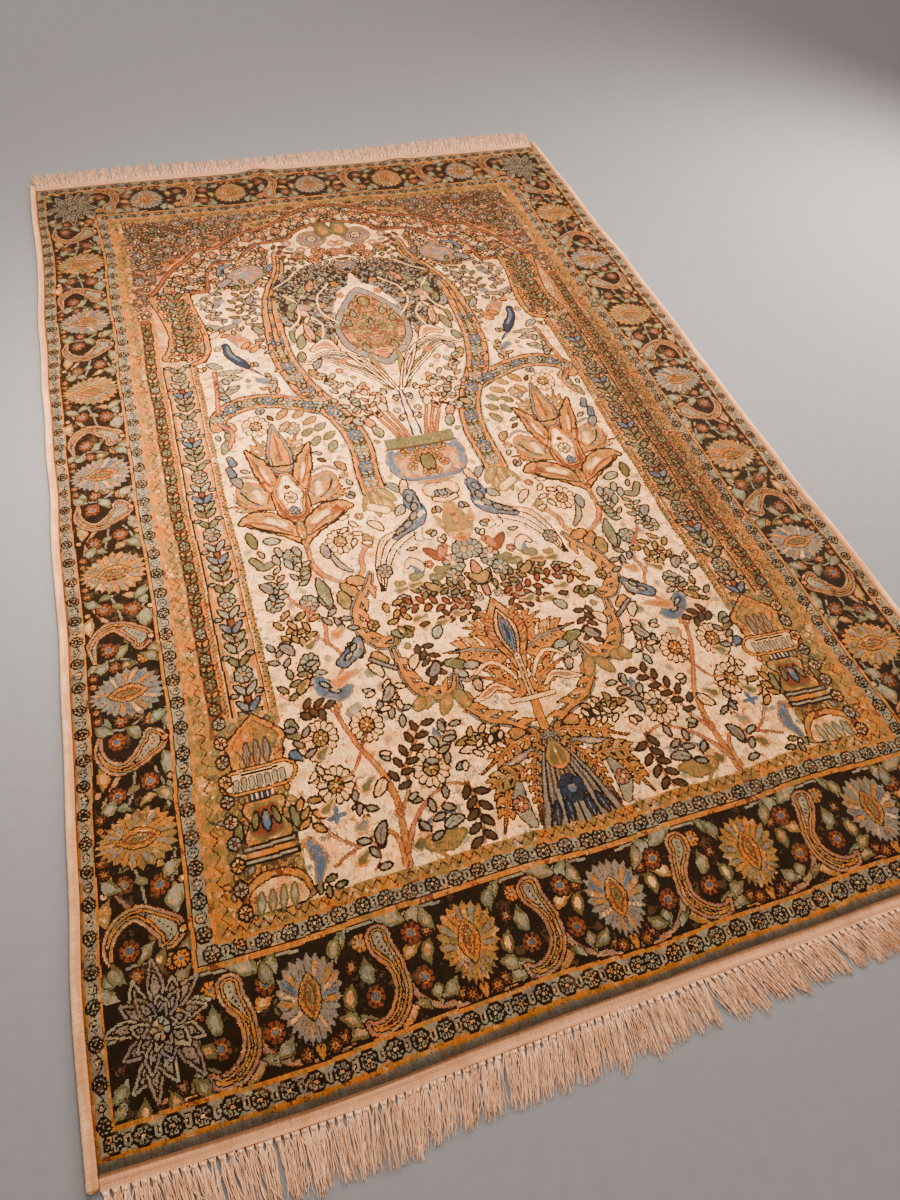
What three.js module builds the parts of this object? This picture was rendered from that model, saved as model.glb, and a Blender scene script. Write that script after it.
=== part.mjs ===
// A hand-knotted silk prayer rug lying flat on a floor, pile side up.
// Millimetres, +Z up, +Y from the near end to the far end. The origin is on the
// underside, at the middle of the field.
// Five pieces: the knotted pile on its foundation, a rounded overcast cord down each
// long side, and at each end a flat-woven band whose warps are knotted into a fringe.

import * as THREE from "three";
import { mergeVertices } from "three/addons/utils/BufferGeometryUtils.js";

// Driving sizes
const PILE_THICKNESS = 5;
const CORD_WIDTH = 11.5;
const CORD_HEIGHT = 6;
const BAND_THICKNESS = 1.8;
const PIECE_GAP = 0.3;
const LOCKS_PER_END = 132;

// The rug's outer long edges, as x at each y. They waver a little, and the rug is
// slightly wider at the far end.
const LONG_EDGES = [
  { y: -930, left: -571, right: 574 },
  { y: -840, left: -574.5, right: 576 },
  { y: -750, left: -576.8, right: 577.5 },
  { y: -660, left: -574.2, right: 576 },
  { y: -570, left: -573.9, right: 575 },
  { y: -480, left: -572.3, right: 576.5 },
  { y: -390, left: -572.3, right: 576.8 },
  { y: -300, left: -571, right: 573.2 },
  { y: -210, left: -573.4, right: 575.2 },
  { y: -120, left: -575.3, right: 575 },
  { y: -30, left: -573.5, right: 577.4 },
  { y: 60, left: -576.6, right: 578.2 },
  { y: 150, left: -576.5, right: 581.5 },
  { y: 240, left: -578.8, right: 582 },
  { y: 330, left: -577.8, right: 582.2 },
  { y: 420, left: -580, right: 585.2 },
  { y: 510, left: -577.6, right: 581.4 },
  { y: 600, left: -576.5, right: 581.5 },
  { y: 690, left: -578.6, right: 584.4 },
  { y: 780, left: -582.5, right: 583.2 },
  { y: 870, left: -583.9, right: 583.4 },
  { y: 960, left: -584, right: 582 },
];

// Where the pile stops at the near and far end, as y at each x.
const END_EDGES = [
  { x: -600, near: -911, far: 900 },
  { x: -500, near: -915, far: 902 },
  { x: -400, near: -918, far: 905 },
  { x: -300, near: -919, far: 904 },
  { x: -200, near: -916, far: 903 },
  { x: -100, near: -914, far: 904 },
  { x: 0, near: -914, far: 904 },
  { x: 100, near: -912.5, far: 901 },
  { x: 200, near: -913, far: 901 },
  { x: 300, near: -911.5, far: 904 },
  { x: 400, near: -912, far: 905 },
  { x: 500, near: -913, far: 906 },
  { x: 600, near: -912, far: 907 },
];

// How far each fringe reaches past its band, and how far its tips lean toward +X.
const NEAR_FRINGE = [
  { x: -600, length: 54, lean: 2 },
  { x: -500, length: 54, lean: 8 },
  { x: -400, length: 55, lean: 3 },
  { x: -300, length: 57, lean: -5 },
  { x: -200, length: 52, lean: -12 },
  { x: -100, length: 53, lean: -10 },
  { x: 0, length: 49, lean: 0 },
  { x: 100, length: 46, lean: 14 },
  { x: 200, length: 43, lean: 14 },
  { x: 300, length: 44, lean: 12 },
  { x: 400, length: 46, lean: 9 },
  { x: 500, length: 47, lean: 6 },
  { x: 600, length: 48, lean: 3 },
];
const FAR_FRINGE = [
  { x: -600, length: 50, lean: -16 },
  { x: -500, length: 56, lean: -7 },
  { x: -400, length: 58, lean: -3 },
  { x: -300, length: 62, lean: -2 },
  { x: -200, length: 54, lean: 0 },
  { x: -100, length: 52, lean: 0 },
  { x: 0, length: 56, lean: 2 },
  { x: 100, length: 60, lean: 5 },
  { x: 200, length: 61, lean: 9 },
  { x: 300, length: 66, lean: 14 },
  { x: 400, length: 68, lean: 17 },
  { x: 500, length: 66, lean: 14 },
  { x: 600, length: 54, lean: 10 },
];

// The two flat-woven bands: how deep each is, and the end of the pile that it joins.
const NEAR_BAND = { name: "end_band_near", side: -1, depth: 13, end: "near", fringe: NEAR_FRINGE };
const FAR_BAND = { name: "end_band_far", side: 1, depth: 25, end: "far", fringe: FAR_FRINGE };

// Low folds that run in from the far end, where the rug doesn't lie quite flat.
const FOLDS = [
  { x: -102, height: 6, halfWidth: 48, reach: 190 },
  { x: 222, height: 3.5, halfWidth: 44, reach: 130 },
];

// The shape of one lock: gathered from the band's full pitch into its knot, then
// opening to the tip. Out is the share of the lock's length, width the share of the
// pitch between locks, and lifted the share of the band's own lift off the floor.
const LOCK_SECTIONS = [
  { out: 0.09, width: 0.36, height: 3, lifted: 1 },
  { out: 0.5, width: 0.7, height: 2.3, lifted: 0 },
  { out: 1, width: 0.56, height: 1.2, lifted: 0 },
];
const LENGTH_UNEVENNESS = 3;
const LEAN_UNEVENNESS = 0.5;

// The pile's columns of faces, as shares of its width, closer together over the
// folds, and the number of rows of faces along it.
const PILE_COLUMNS = [
  0, 0.07, 0.15, 0.23, 0.31, 0.355, 0.38, 0.4, 0.42, 0.445, 0.49, 0.56,
  0.63, 0.66, 0.68, 0.7, 0.72, 0.76, 0.84, 0.92, 1,
];
const PILE_ROWS = 36;
const CORD_SIDES = 8;

// Reads one column of a table at a place between its evenly spaced rows.
function readTable(rows, key, column, place) {
  const first = rows[0][key];
  const last = rows[rows.length - 1][key];
  const points = rows.map((row) => new THREE.Vector2(row[key], row[column]));
  const share = THREE.MathUtils.clamp((place - first) / (last - first), 0, 1);
  return new THREE.SplineCurve(points).getPoint(share).y;
}

function outerEdge(side, y) {
  return readTable(LONG_EDGES, "y", side, y);
}

// The line that the pile and the bands keep to beside a cord.
function innerEdge(side, y) {
  const inward = side === "left" ? 1 : -1;
  return outerEdge(side, y) + inward * (CORD_WIDTH + PIECE_GAP);
}

function pileEnd(end, x) {
  return readTable(END_EDGES, "x", end, x);
}

// A point of the pile's outline grid, from its shares across and along the rug.
function onRug(across, along) {
  const roughX = THREE.MathUtils.lerp(innerEdge("left", 0), innerEdge("right", 0), across);
  const y = THREE.MathUtils.lerp(pileEnd("near", roughX), pileEnd("far", roughX), along);
  const x = THREE.MathUtils.lerp(innerEdge("left", y), innerEdge("right", y), across);
  return new THREE.Vector2(x, y);
}

// How high the folds lift the rug off the floor.
function lift(x, y) {
  const pileEdge = pileEnd("far", x);
  return FOLDS.reduce((height, fold) => {
    const across = Math.min(Math.abs(x - fold.x) / fold.halfWidth, 1);
    const inward = THREE.MathUtils.clamp((pileEdge - y) / fold.reach, 0, 1);
    const crest = 0.5 + 0.5 * Math.cos(Math.PI * across);
    const fade = 0.5 + 0.5 * Math.cos(Math.PI * inward);
    return height + fold.height * crest * fade;
  }, 0);
}

// A small steady unevenness from lock to lock, between -1 and 1.
function unevenness(lock) {
  return Math.sin(lock * 12.9898) * Math.cos(lock * 4.1414);
}

// The pile: a unit box whose columns and rows are moved onto the outline and folds.
function pileGeometry() {
  const columns = PILE_COLUMNS.length - 1;
  const geometry = new THREE.BoxGeometry(1, 1, 1, columns, PILE_ROWS, 1);
  const position = geometry.attributes.position;
  for (let i = 0; i < position.count; i += 1) {
    const column = Math.round((position.getX(i) + 0.5) * columns);
    const point = onRug(PILE_COLUMNS[column], position.getY(i) + 0.5);
    const level = (position.getZ(i) + 0.5) * PILE_THICKNESS;
    position.setXYZ(i, point.x, point.y, level + lift(point.x, point.y));
  }
  return geometry;
}

// The y of a cord's sections: the bands' outer edges, and each row of the pile between.
function cordStations(side) {
  const across = side === "left" ? 0 : 1;
  const stations = [];
  for (let row = 0; row <= PILE_ROWS; row += 1) {
    stations.push(onRug(across, row / PILE_ROWS).y);
  }
  const start = stations[0] - PIECE_GAP - NEAR_BAND.depth;
  const end = stations[PILE_ROWS] + PIECE_GAP + FAR_BAND.depth;
  return [start, ...stations, end];
}

// A rounded cord with a flat side down, bent along a long edge of the rug.
function cordGeometry(side) {
  const section = new THREE.Shape();
  const cornerReach = 1 / Math.cos(Math.PI / CORD_SIDES);
  for (let i = 0; i < CORD_SIDES; i += 1) {
    const angle = ((i + 0.5) / CORD_SIDES) * 2 * Math.PI;
    const x = (Math.cos(angle) * cornerReach * CORD_WIDTH) / 2;
    const z = (Math.sin(angle) * cornerReach * CORD_HEIGHT) / 2;
    if (i === 0) section.moveTo(x, z);
    else section.lineTo(x, z);
  }
  section.closePath();
  const stations = cordStations(side);
  const steps = stations.length - 1;
  const geometry = new THREE.ExtrudeGeometry(section, { depth: steps, steps, bevelEnabled: false });
  geometry.rotateX(-Math.PI / 2);
  const inward = side === "left" ? 1 : -1;
  const position = geometry.attributes.position;
  for (let i = 0; i < position.count; i += 1) {
    const y = stations[Math.round(position.getY(i))];
    const centre = outerEdge(side, y) + (inward * CORD_WIDTH) / 2;
    position.setXYZ(i, position.getX(i) + centre, y, position.getZ(i) + CORD_HEIGHT / 2);
  }
  return geometry;
}

// The y of a band's inner edge, a gap away from the straight faces of the pile's end.
function bandStart(band, x) {
  const ends = PILE_COLUMNS.map((across) => onRug(across, band.side > 0 ? 1 : 0));
  const after = ends.findIndex((end) => end.x >= x);
  const next = ends[THREE.MathUtils.clamp(after, 1, ends.length - 1)];
  const last = ends[ends.indexOf(next) - 1];
  const y = THREE.MathUtils.mapLinear(x, last.x, next.x, last.y, next.y);
  return y + band.side * PIECE_GAP;
}

// Both lines across a band, inner edge then outer, with a point for each lock's side.
function bandLines(band) {
  return [0, band.depth].map((depth) => {
    const cornerY = (side) => bandStart(band, innerEdge(side, band.side * 910)) + band.side * depth;
    const left = innerEdge("left", cornerY("left"));
    const right = innerEdge("right", cornerY("right"));
    const line = [];
    for (let lock = 0; lock <= LOCKS_PER_END; lock += 1) {
      const x = THREE.MathUtils.lerp(left, right, lock / LOCKS_PER_END);
      line.push(new THREE.Vector2(x, bandStart(band, x) + band.side * depth));
    }
    return line;
  });
}

// The four corners of an upright section between two points on the floor's plan.
function sectionCorners(left, right, leftBase, rightBase, height) {
  return [
    new THREE.Vector3(left.x, left.y, leftBase),
    new THREE.Vector3(right.x, right.y, rightBase),
    new THREE.Vector3(right.x, right.y, rightBase + height),
    new THREE.Vector3(left.x, left.y, leftBase + height),
  ];
}

// A flat-woven band and the locks that grow out of its outer edge, as one closed
// body. Each lock starts at the full pitch, so neighbours meet only at the root.
function endBandGeometry(band) {
  const triangles = [];
  const quad = (a, b, c, d) => {
    if (band.side > 0) triangles.push(a, b, c, a, c, d);
    else triangles.push(a, c, b, a, d, c);
  };
  const walls = (from, to) => {
    for (let i = 0; i < 4; i += 1) {
      const next = (i + 1) % 4;
      quad(from[i], to[i], to[next], from[next]);
    }
  };
  const cornersAt = (line, lock) => {
    const [left, right] = [line[lock], line[lock + 1]];
    return sectionCorners(left, right, lift(left.x, left.y), lift(right.x, right.y), BAND_THICKNESS);
  };
  const [innerLine, outerLine] = bandLines(band);

  for (let lock = 0; lock < LOCKS_PER_END; lock += 1) {
    const inner = cornersAt(innerLine, lock);
    const root = cornersAt(outerLine, lock);
    quad(inner[0], inner[1], inner[2], inner[3]);
    quad(inner[0], root[0], root[1], inner[1]);
    quad(inner[3], inner[2], root[2], root[3]);
    if (lock === 0) quad(inner[0], inner[3], root[3], root[0]);
    if (lock === LOCKS_PER_END - 1) quad(inner[1], root[1], root[2], inner[2]);

    const middle = outerLine[lock].clone().lerp(outerLine[lock + 1], 0.5);
    const pitch = outerLine[lock + 1].x - outerLine[lock].x;
    const length = readTable(band.fringe, "x", "length", middle.x) + LENGTH_UNEVENNESS * unevenness(lock);
    const lean = readTable(band.fringe, "x", "lean", middle.x) + LEAN_UNEVENNESS * unevenness(2 * lock + 1);
    let last = root;
    for (const section of LOCK_SECTIONS) {
      const x = middle.x + lean * section.out;
      const y = middle.y + band.side * length * section.out;
      const left = new THREE.Vector2(x - (section.width * pitch) / 2, y);
      const right = new THREE.Vector2(x + (section.width * pitch) / 2, y);
      const base = section.lifted * lift(middle.x, middle.y);
      const ring = sectionCorners(left, right, base, base, section.height);
      walls(last, ring);
      last = ring;
    }
    quad(last[3], last[2], last[1], last[0]);
  }
  return mergeVertices(new THREE.BufferGeometry().setFromPoints(triangles), 0.001);
}

function addPiece(group, name, geometry, colour, roughness) {
  const material = new THREE.MeshStandardMaterial({ color: colour, roughness, metalness: 0 });
  const mesh = new THREE.Mesh(geometry, material);
  mesh.name = name;
  group.add(mesh);
}

const rug = new THREE.Group();
addPiece(rug, "pile", pileGeometry(), 0x6f4a33, 0.55);
addPiece(rug, "selvedge_left", cordGeometry("left"), 0xc98d66, 0.6);
addPiece(rug, "selvedge_right", cordGeometry("right"), 0xc98d66, 0.6);
addPiece(rug, NEAR_BAND.name, endBandGeometry(NEAR_BAND), 0xd9b391, 0.75);
addPiece(rug, FAR_BAND.name, endBandGeometry(FAR_BAND), 0xd9b391, 0.75);

export default rug;
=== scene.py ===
# A hand-knotted silk prayer rug lying flat: cut silk pile on a woven foundation, overcast long edges,
# and a flat-woven band with knotted fringe at each end. Metres in Blender; the knot chart is laid out
# in millimetres, with x across the rug and y along it from the near end.
import math

import bmesh
import bpy
import numpy as np
from mathutils import Matrix, Vector


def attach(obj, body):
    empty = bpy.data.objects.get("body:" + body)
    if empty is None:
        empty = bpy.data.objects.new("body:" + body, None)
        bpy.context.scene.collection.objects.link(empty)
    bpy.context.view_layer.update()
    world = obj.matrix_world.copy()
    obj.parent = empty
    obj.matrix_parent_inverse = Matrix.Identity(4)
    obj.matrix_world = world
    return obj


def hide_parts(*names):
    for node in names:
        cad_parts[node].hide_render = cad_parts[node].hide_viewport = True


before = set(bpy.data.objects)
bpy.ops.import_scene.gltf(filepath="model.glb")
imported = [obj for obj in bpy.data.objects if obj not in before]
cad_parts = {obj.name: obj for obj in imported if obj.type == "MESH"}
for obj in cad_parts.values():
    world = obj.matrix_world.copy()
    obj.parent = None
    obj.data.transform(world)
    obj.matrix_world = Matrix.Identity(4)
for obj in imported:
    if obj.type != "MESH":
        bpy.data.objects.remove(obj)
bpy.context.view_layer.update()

MM = 0.001

# The camera looks down over the rug's near left corner from a little under a metre up. Its place
# and turn come from a fit to the four sides of the main border.
CAMERA_PLACE = Vector((-0.3258, -1.0366, 0.9322))
CAMERA_FORWARD = Vector((0.23198, 0.56546, -0.79148))
CAMERA_RIGHT = Vector((0.95053, -0.30458, 0.06099))
FOCAL_PIXELS = 833.5
PHOTO_HEIGHT = 1200

camera_data = bpy.data.cameras.new("camera")
camera_data.sensor_fit = "VERTICAL"
camera_data.sensor_height = 36
camera_data.lens = FOCAL_PIXELS / PHOTO_HEIGHT * camera_data.sensor_height
camera_data.clip_end = 60
camera = bpy.data.objects.new("camera", camera_data)
bpy.context.scene.collection.objects.link(camera)
bpy.context.scene.camera = camera
backward = -CAMERA_FORWARD.normalized()
rightward = (CAMERA_RIGHT - CAMERA_RIGHT.dot(backward) * backward).normalized()
upward = backward.cross(rightward)
turn = Matrix((rightward, upward, backward)).transposed().to_4x4()
camera.matrix_world = Matrix.Translation(CAMERA_PLACE) @ turn

# The knot chart. The weaver ties one knot of dyed silk at each crossing from a drawn chart, so the
# design is worked out here as a grid of dye numbers. Only the left half is drawn, because the right
# half mirrors it. A place on the chart is a complex number, x + yj, in millimetres.
HALF_COLUMNS = 432
ROWS = 1216
KNOT_X = 1.3
KNOT_Y = 1.495
CHART_LEFT = -HALF_COLUMNS * KNOT_X
CHART_BOTTOM = -914.0

DYES = {
    "ink": (0.013, 0.0065, 0.003),
    "rust": (0.115, 0.029, 0.011),
    "orange": (0.322, 0.098, 0.012),
    "gold": (0.186, 0.091, 0.023),
    "peach": (0.37, 0.155, 0.050),
    "cream": (0.54, 0.27, 0.100),
    "ivory": (0.73, 0.385, 0.166),
    "sage": (0.105, 0.085, 0.038),
    "pale_sage": (0.185, 0.145, 0.088),
    "blue": (0.054, 0.065, 0.084),
    "mauve": (0.135, 0.092, 0.078),
    "rose": (0.235, 0.074, 0.034),
    "brown": (0.052, 0.025, 0.011),
    "olive": (0.085, 0.060, 0.020),
    "night": (0.015, 0.018, 0.030),
    "taupe": (0.145, 0.105, 0.073),
}
DYE = {name: number for number, name in enumerate(DYES)}
chart = np.full((ROWS, HALF_COLUMNS), DYE["ink"], np.uint8)
column_x = CHART_LEFT + (np.arange(HALF_COLUMNS) + 0.5) * KNOT_X
row_y = CHART_BOTTOM + (np.arange(ROWS) + 0.5) * KNOT_Y
LINE = 2.6
STRETCH = 1.16
UNTOUCHED = 99.0
SCROLL_PITCH = 23.0
SPRIG_LEAN = 0.9
SPECKLE = 0.35


def trace(points, widths):
    """A smooth line through the points, and the half width at each of its steps."""
    points = np.asarray(points, complex).ravel()
    widths = np.asarray(widths, float).ravel()
    if len(points) == 1:
        return points, widths[:1] / 2
    stops = np.linspace(0, 1, len(points))
    widths = np.interp(stops, np.linspace(0, 1, len(widths)), widths)
    before, after = 2 * points[0] - points[1], 2 * points[-1] - points[-2]
    ends = np.concatenate([[before], points, [after]])
    line, half = [], []
    for i in range(len(points) - 1):
        a, b, c, d = ends[i:i + 4]
        count = max(int(abs(c - b) / KNOT_X), 2)
        t = np.arange(count) / count
        curve = 2 * b + (c - a) * t + (2 * a - 5 * b + 4 * c - d) * t**2 + (3 * b - a - 3 * c + d) * t**3
        line.append(curve / 2)
        half.append(widths[i] + (widths[i + 1] - widths[i]) * t)
    line.append([points[-1]])
    half.append([widths[-1]])
    return np.concatenate(line), np.concatenate(half) / 2


def draw(strokes, layers, teeth=0.0, pitch=9.0):
    """Knots one or more strokes, each (points, widths). layers are (grow, dye), the outermost first:
    each dye covers what lies within grow of the strokes' edges. teeth notches both sides."""
    lines, halves = [], []
    for points, widths in strokes:
        line, half = trace(points, widths)
        if teeth:
            steps = np.concatenate([[0], np.cumsum(np.abs(np.diff(line)))])
            half = half * (1 - teeth * (steps / pitch % 1))
        lines.append(line)
        halves.append(half)
    line, half = np.concatenate(lines), np.concatenate(halves)
    grow = max(layer[0] for layer in layers)
    reach = half + grow
    keep = (reach > 0) & (line.real - reach < 0)
    if not keep.any():
        return
    line, half, reach = line[keep], half[keep], reach[keep]
    first_column = max(int(((line.real - reach).min() - CHART_LEFT) / KNOT_X) - 1, 0)
    last_column = min(int(((line.real + reach).max() - CHART_LEFT) / KNOT_X) + 2, HALF_COLUMNS)
    first_row = max(int(((line.imag - reach).min() - CHART_BOTTOM) / KNOT_Y) - 1, 0)
    last_row = min(int(((line.imag + reach).max() - CHART_BOTTOM) / KNOT_Y) + 2, ROWS)
    if first_column >= last_column or first_row >= last_row:
        return
    xs = column_x[first_column:last_column]
    ys = row_y[first_row:last_row]
    depth = np.full((len(ys), len(xs)), UNTOUCHED)
    for place, size, far in zip(line, half, reach):
        c0 = max(int((place.real - far - xs[0]) / KNOT_X), 0)
        c1 = int((place.real + far - xs[0]) / KNOT_X) + 2
        r0 = max(int((place.imag - far - ys[0]) / KNOT_Y), 0)
        r1 = int((place.imag + far - ys[0]) / KNOT_Y) + 2
        near = depth[r0:r1, c0:c1]
        across = xs[None, c0:c1] - place.real
        along = ys[r0:r1, None] - place.imag
        np.minimum(near, np.hypot(across, along) - size, out=near)
    area = chart[first_row:last_row, first_column:last_column]
    for edge, dye in layers:
        area[depth < edge] = DYE[dye]


def edged(dye, edge="ink", line=LINE):
    """The layers of a plain shape with a line round it."""
    return [(line, edge), (0, dye)]


def brush(points, widths, *layers, **notches):
    """One stroke with its own layers, and teeth and their pitch if it has them."""
    draw([(points, widths)], layers, **notches)


def outlined(points, widths, dye, edge="ink", line=LINE):
    """One stroke in one dye with a line round it."""
    draw([(points, widths)], edged(dye, edge, line))


def block(x0, x1, y0, y1, dye):
    """Knots an upright rectangle in one dye."""
    rows = (row_y >= y0) & (row_y < y1)
    columns = (column_x >= x0) & (column_x < x1)
    chart[np.ix_(rows, columns)] = DYE[dye]


def inside(corners, x, y):
    """Which of the places lie inside a closed outline."""
    found = np.zeros(np.broadcast(x, y).shape, bool)
    for a, b in zip(corners, np.roll(corners, -1)):
        if a.imag == b.imag:
            continue
        crosses = (a.imag > y) != (b.imag > y)
        found ^= crosses & (x < (b.real - a.real) * (y - a.imag) / (b.imag - a.imag) + a.real)
    return found


def fill(points, dye):
    """Knots a closed area in one dye."""
    corners = np.asarray(points, complex)
    columns = np.flatnonzero((column_x >= corners.real.min()) & (column_x <= corners.real.max()))
    rows = np.flatnonzero((row_y >= corners.imag.min()) & (row_y <= corners.imag.max()))
    area = np.ix_(rows, columns)
    knots = chart[area]
    knots[inside(corners, column_x[columns][None, :], row_y[rows][:, None])] = DYE[dye]
    chart[area] = knots


def shape(points, dye, edge="ink", line=LINE):
    """A closed area with a smooth outline through the points, and a line round it."""
    loop = [*points, points[0]]
    fill(trace(loop, [1])[0], dye)
    brush(loop, line, (0, edge))


def leaf(base, tip, width, dye, edge="ink", vein=None, bend=0.0):
    """A pointed leaf from its base to its tip, with an optional line down its middle."""
    line = [base + (tip - base) * (t + 4 * bend * t * (1 - t) * 1j) for t in (0, 0.25, 0.5, 0.8, 1)]
    outlined(line, [0.4, width * 0.78, width, width * 0.62, 0.2], dye, edge)
    if vein:
        brush(line[:4], 1.3, (0, vein))


def stem(points, width, dye, edge=None):
    """A stalk or a branch."""
    draw([(points, [width])], edged(dye, edge) if edge else [(0, dye)])


def blossom(at, radius, petals, dye, heart, stretch=STRETCH):
    """A round flower: a scalloped head with a line between each two petals, and a ringed heart."""
    spread = radius * 1.15 + 2
    columns = np.flatnonzero(np.abs(column_x - at.real) < spread)
    rows = np.flatnonzero(np.abs(row_y - at.imag) < spread * stretch)
    if not len(columns) or not len(rows):
        return
    area = np.ix_(rows, columns)
    across = column_x[columns][None, :] - at.real
    along = (row_y[rows][:, None] - at.imag) / stretch
    away = np.hypot(across, along)
    angle = np.arctan2(along, across)
    scallop = radius * (0.86 + 0.14 * np.abs(np.sin(angle * petals / 2)))
    gap = np.abs(np.sin(angle * petals / 2)) * 2 / petals * away
    knots = chart[area]
    knots[away < scallop + LINE] = DYE["ink"]
    knots[away < scallop] = DYE[dye]
    knots[(away < scallop) & (gap < 0.75) & (away > radius * 0.42)] = DYE["ink"]
    knots[away < radius * 0.38] = DYE["ink"]
    knots[away < radius * 0.38 - 1.2] = DYE[heart]
    chart[area] = knots


def rosette(at, radius, dye, heart, edge="ink", petals=6, turn=0.3):
    """A small flower of separate round petals about a heart."""
    for i in range(petals):
        angle = turn + 2 * math.pi * i / petals
        petal = at + radius * 0.62 * complex(math.cos(angle), STRETCH * math.sin(angle))
        outlined(petal, radius * 0.78, dye, edge, 1.5)
    outlined(at, radius * 0.6, heart, edge, 0.6)


def palmette(at, half_width, half_height, teeth, ring, petal_dyes, eye_dyes, point):
    """A large serrated flower head. point is the way it faces. petal_dyes go round its rays in
    turn, ring is the dye at the teeth, and eye_dyes go from its eye's outline inwards."""
    spread = max(half_width, half_height) * 1.2
    columns = np.flatnonzero(np.abs(column_x - at.real) < spread)
    rows = np.flatnonzero(np.abs(row_y - at.imag) < spread)
    if not len(columns) or not len(rows):
        return
    area = np.ix_(rows, columns)
    place = (column_x[columns][None, :] + 1j * row_y[rows][:, None] - at) / point * 1j
    across, along = place.real / half_width, place.imag / half_height
    away = np.hypot(across, along)
    angle = np.arctan2(across, along + 0.18)
    ray = angle * teeth / (2 * math.pi) % 1
    saw = 1 - 0.17 * np.abs(2 * ray - 1) ** 0.8
    lobe = 1 - 0.05 * np.cos(3 * angle)
    edge = saw * lobe
    line = LINE / half_width
    number = np.floor(angle * teeth / (2 * math.pi)).astype(int)
    tip = np.abs(2 * ray - 1)
    knots = chart[area]
    knots[away < edge + line] = DYE["ink"]
    knots[away < edge] = DYE[ring]
    for i, dye in enumerate(petal_dyes):
        streak = (number % len(petal_dyes) == i) & (tip < 0.62) & (away > 0.42) & (away < edge - 0.13)
        knots[streak] = DYE[dye]
    knots[(away > 0.50) & (away < edge - 0.05) & (tip > 0.86)] = DYE["brown"]
    eye = np.abs(across) * 1.35 + (along + 0.02) ** 2 * 1.6
    for size, dye in zip((0.50, 0.44, 0.33, 0.27, 0.16, 0.09), eye_dyes):
        knots[eye < size] = DYE[dye]
    seed = (np.add.outer(rows, columns) % 4 == 0) & (np.subtract.outer(rows, columns) % 3 == 0)
    knots[seed & (eye < 0.42)] = DYE["ink"]
    chart[area] = knots


def boteh(points, widths):
    """A curled paisley, in rings of ink, rose, ink, orange and a pale core with dark seeds."""
    brush(points, widths, (1.6, "ink"), (0, "rose"), (-2.2, "taupe"), (-3.4, "ink"), (-4.8, "orange"),
          (-6.8, "ink"), (-8.2, "pale_sage"))
    line, half = trace(points, widths)
    for i in np.flatnonzero(half > 9.5)[::4]:
        brush(line[i], 2.4, (0, "ink"))
    for i in np.flatnonzero(half < 9.5)[2::4]:
        brush(line[i], 1.6, (0, "brown"))


def acanthus(spine, width, lobes, dye="orange"):
    """A leaf with flame-like lobes swept forward along a curved spine, and a vein in each."""
    line, _ = trace(spine, [1])
    leaves, veins = [(spine, [2, width * 0.5, width * 0.45, 1])], [(spine, [1.4])]
    for i in range(lobes):
        k = int((0.08 + 0.8 * i / lobes) * (len(line) - 2))
        heading = (line[k + 1] - line[k]) / abs(line[k + 1] - line[k])
        long = width * (1.3 - 0.6 * abs(2 * i / lobes - 0.7))
        for side in (-1, 1):
            bend = line[k] + heading * complex(0.3, 0.58 * side) * long
            tip = line[k] + heading * complex(0.95, 0.8 * side) * long
            leaves.append(([line[k], bend, tip], [width * 0.4, width * 0.5, 0.6]))
            veins.append(([line[k], bend], [1.2]))
    draw(leaves, edged(dye, "ink", 1.7))
    draw(veins, [(0, "rust")])


def scroll(points, widths):
    """A curling band with a soft rim outside it and flame-like teeth on its left."""
    widths = np.asarray(widths, float)
    outlined(points, widths * 0.62 + 7, "mauve", "ink", 1.4)
    line, half = trace(points, widths)
    steps = np.concatenate([[0], np.cumsum(np.abs(np.diff(line)))])
    leaves = [(points, widths * 0.62)]
    for i in range(1, int(steps[-1] / SCROLL_PITCH)):
        k = min(np.searchsorted(steps, i * SCROLL_PITCH), len(line) - 2)
        heading = (line[k + 1] - line[k]) / abs(line[k + 1] - line[k])
        bend = line[k] + heading * complex(0.1, 0.8) * (half[k] + 6)
        tip = line[k] + heading * complex(1.0, 1.2) * (half[k] + 9)
        leaves.append(([line[k] - heading * 4, bend, tip], [8, 9, 0.4]))
    draw(leaves, edged("orange", "ink", 1.7))


def cloudy(size, seed):
    """Smooth chance values over the chart, with patches about size millimetres across."""
    random = np.random.default_rng(seed)
    down, over = int(ROWS * KNOT_Y / size) + 3, int(HALF_COLUMNS * KNOT_X / size) + 3
    coarse = random.normal(0, 1, (down, over))
    y = np.arange(ROWS) * KNOT_Y / size
    x = np.arange(HALF_COLUMNS) * KNOT_X / size
    i, j = y.astype(int), x.astype(int)
    v, u = (y - i)[:, None], (x - j)[None, :]
    u, v = u * u * (3 - 2 * u), v * v * (3 - 2 * v)
    near = coarse[np.ix_(i, j)] * (1 - u) + coarse[np.ix_(i, j + 1)] * u
    far = coarse[np.ix_(i + 1, j)] * (1 - u) + coarse[np.ix_(i + 1, j + 1)] * u
    return near * (1 - v) + far * v


def wash(over, dye, share, size):
    """Knots cloudy patches of one dye where another lies, as silk from uneven dye lots does."""
    seed = DYE[over] * 31 + DYE[dye] * 7
    chance = cloudy(size, seed) + 0.6 * cloudy(size / 3, seed + 1)
    chance += SPECKLE * np.random.default_rng(seed + 2).normal(0, 1, chance.shape)
    chart[(chart == DYE[over]) & (chance > np.quantile(chance, 1 - share))] = DYE[dye]


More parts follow.
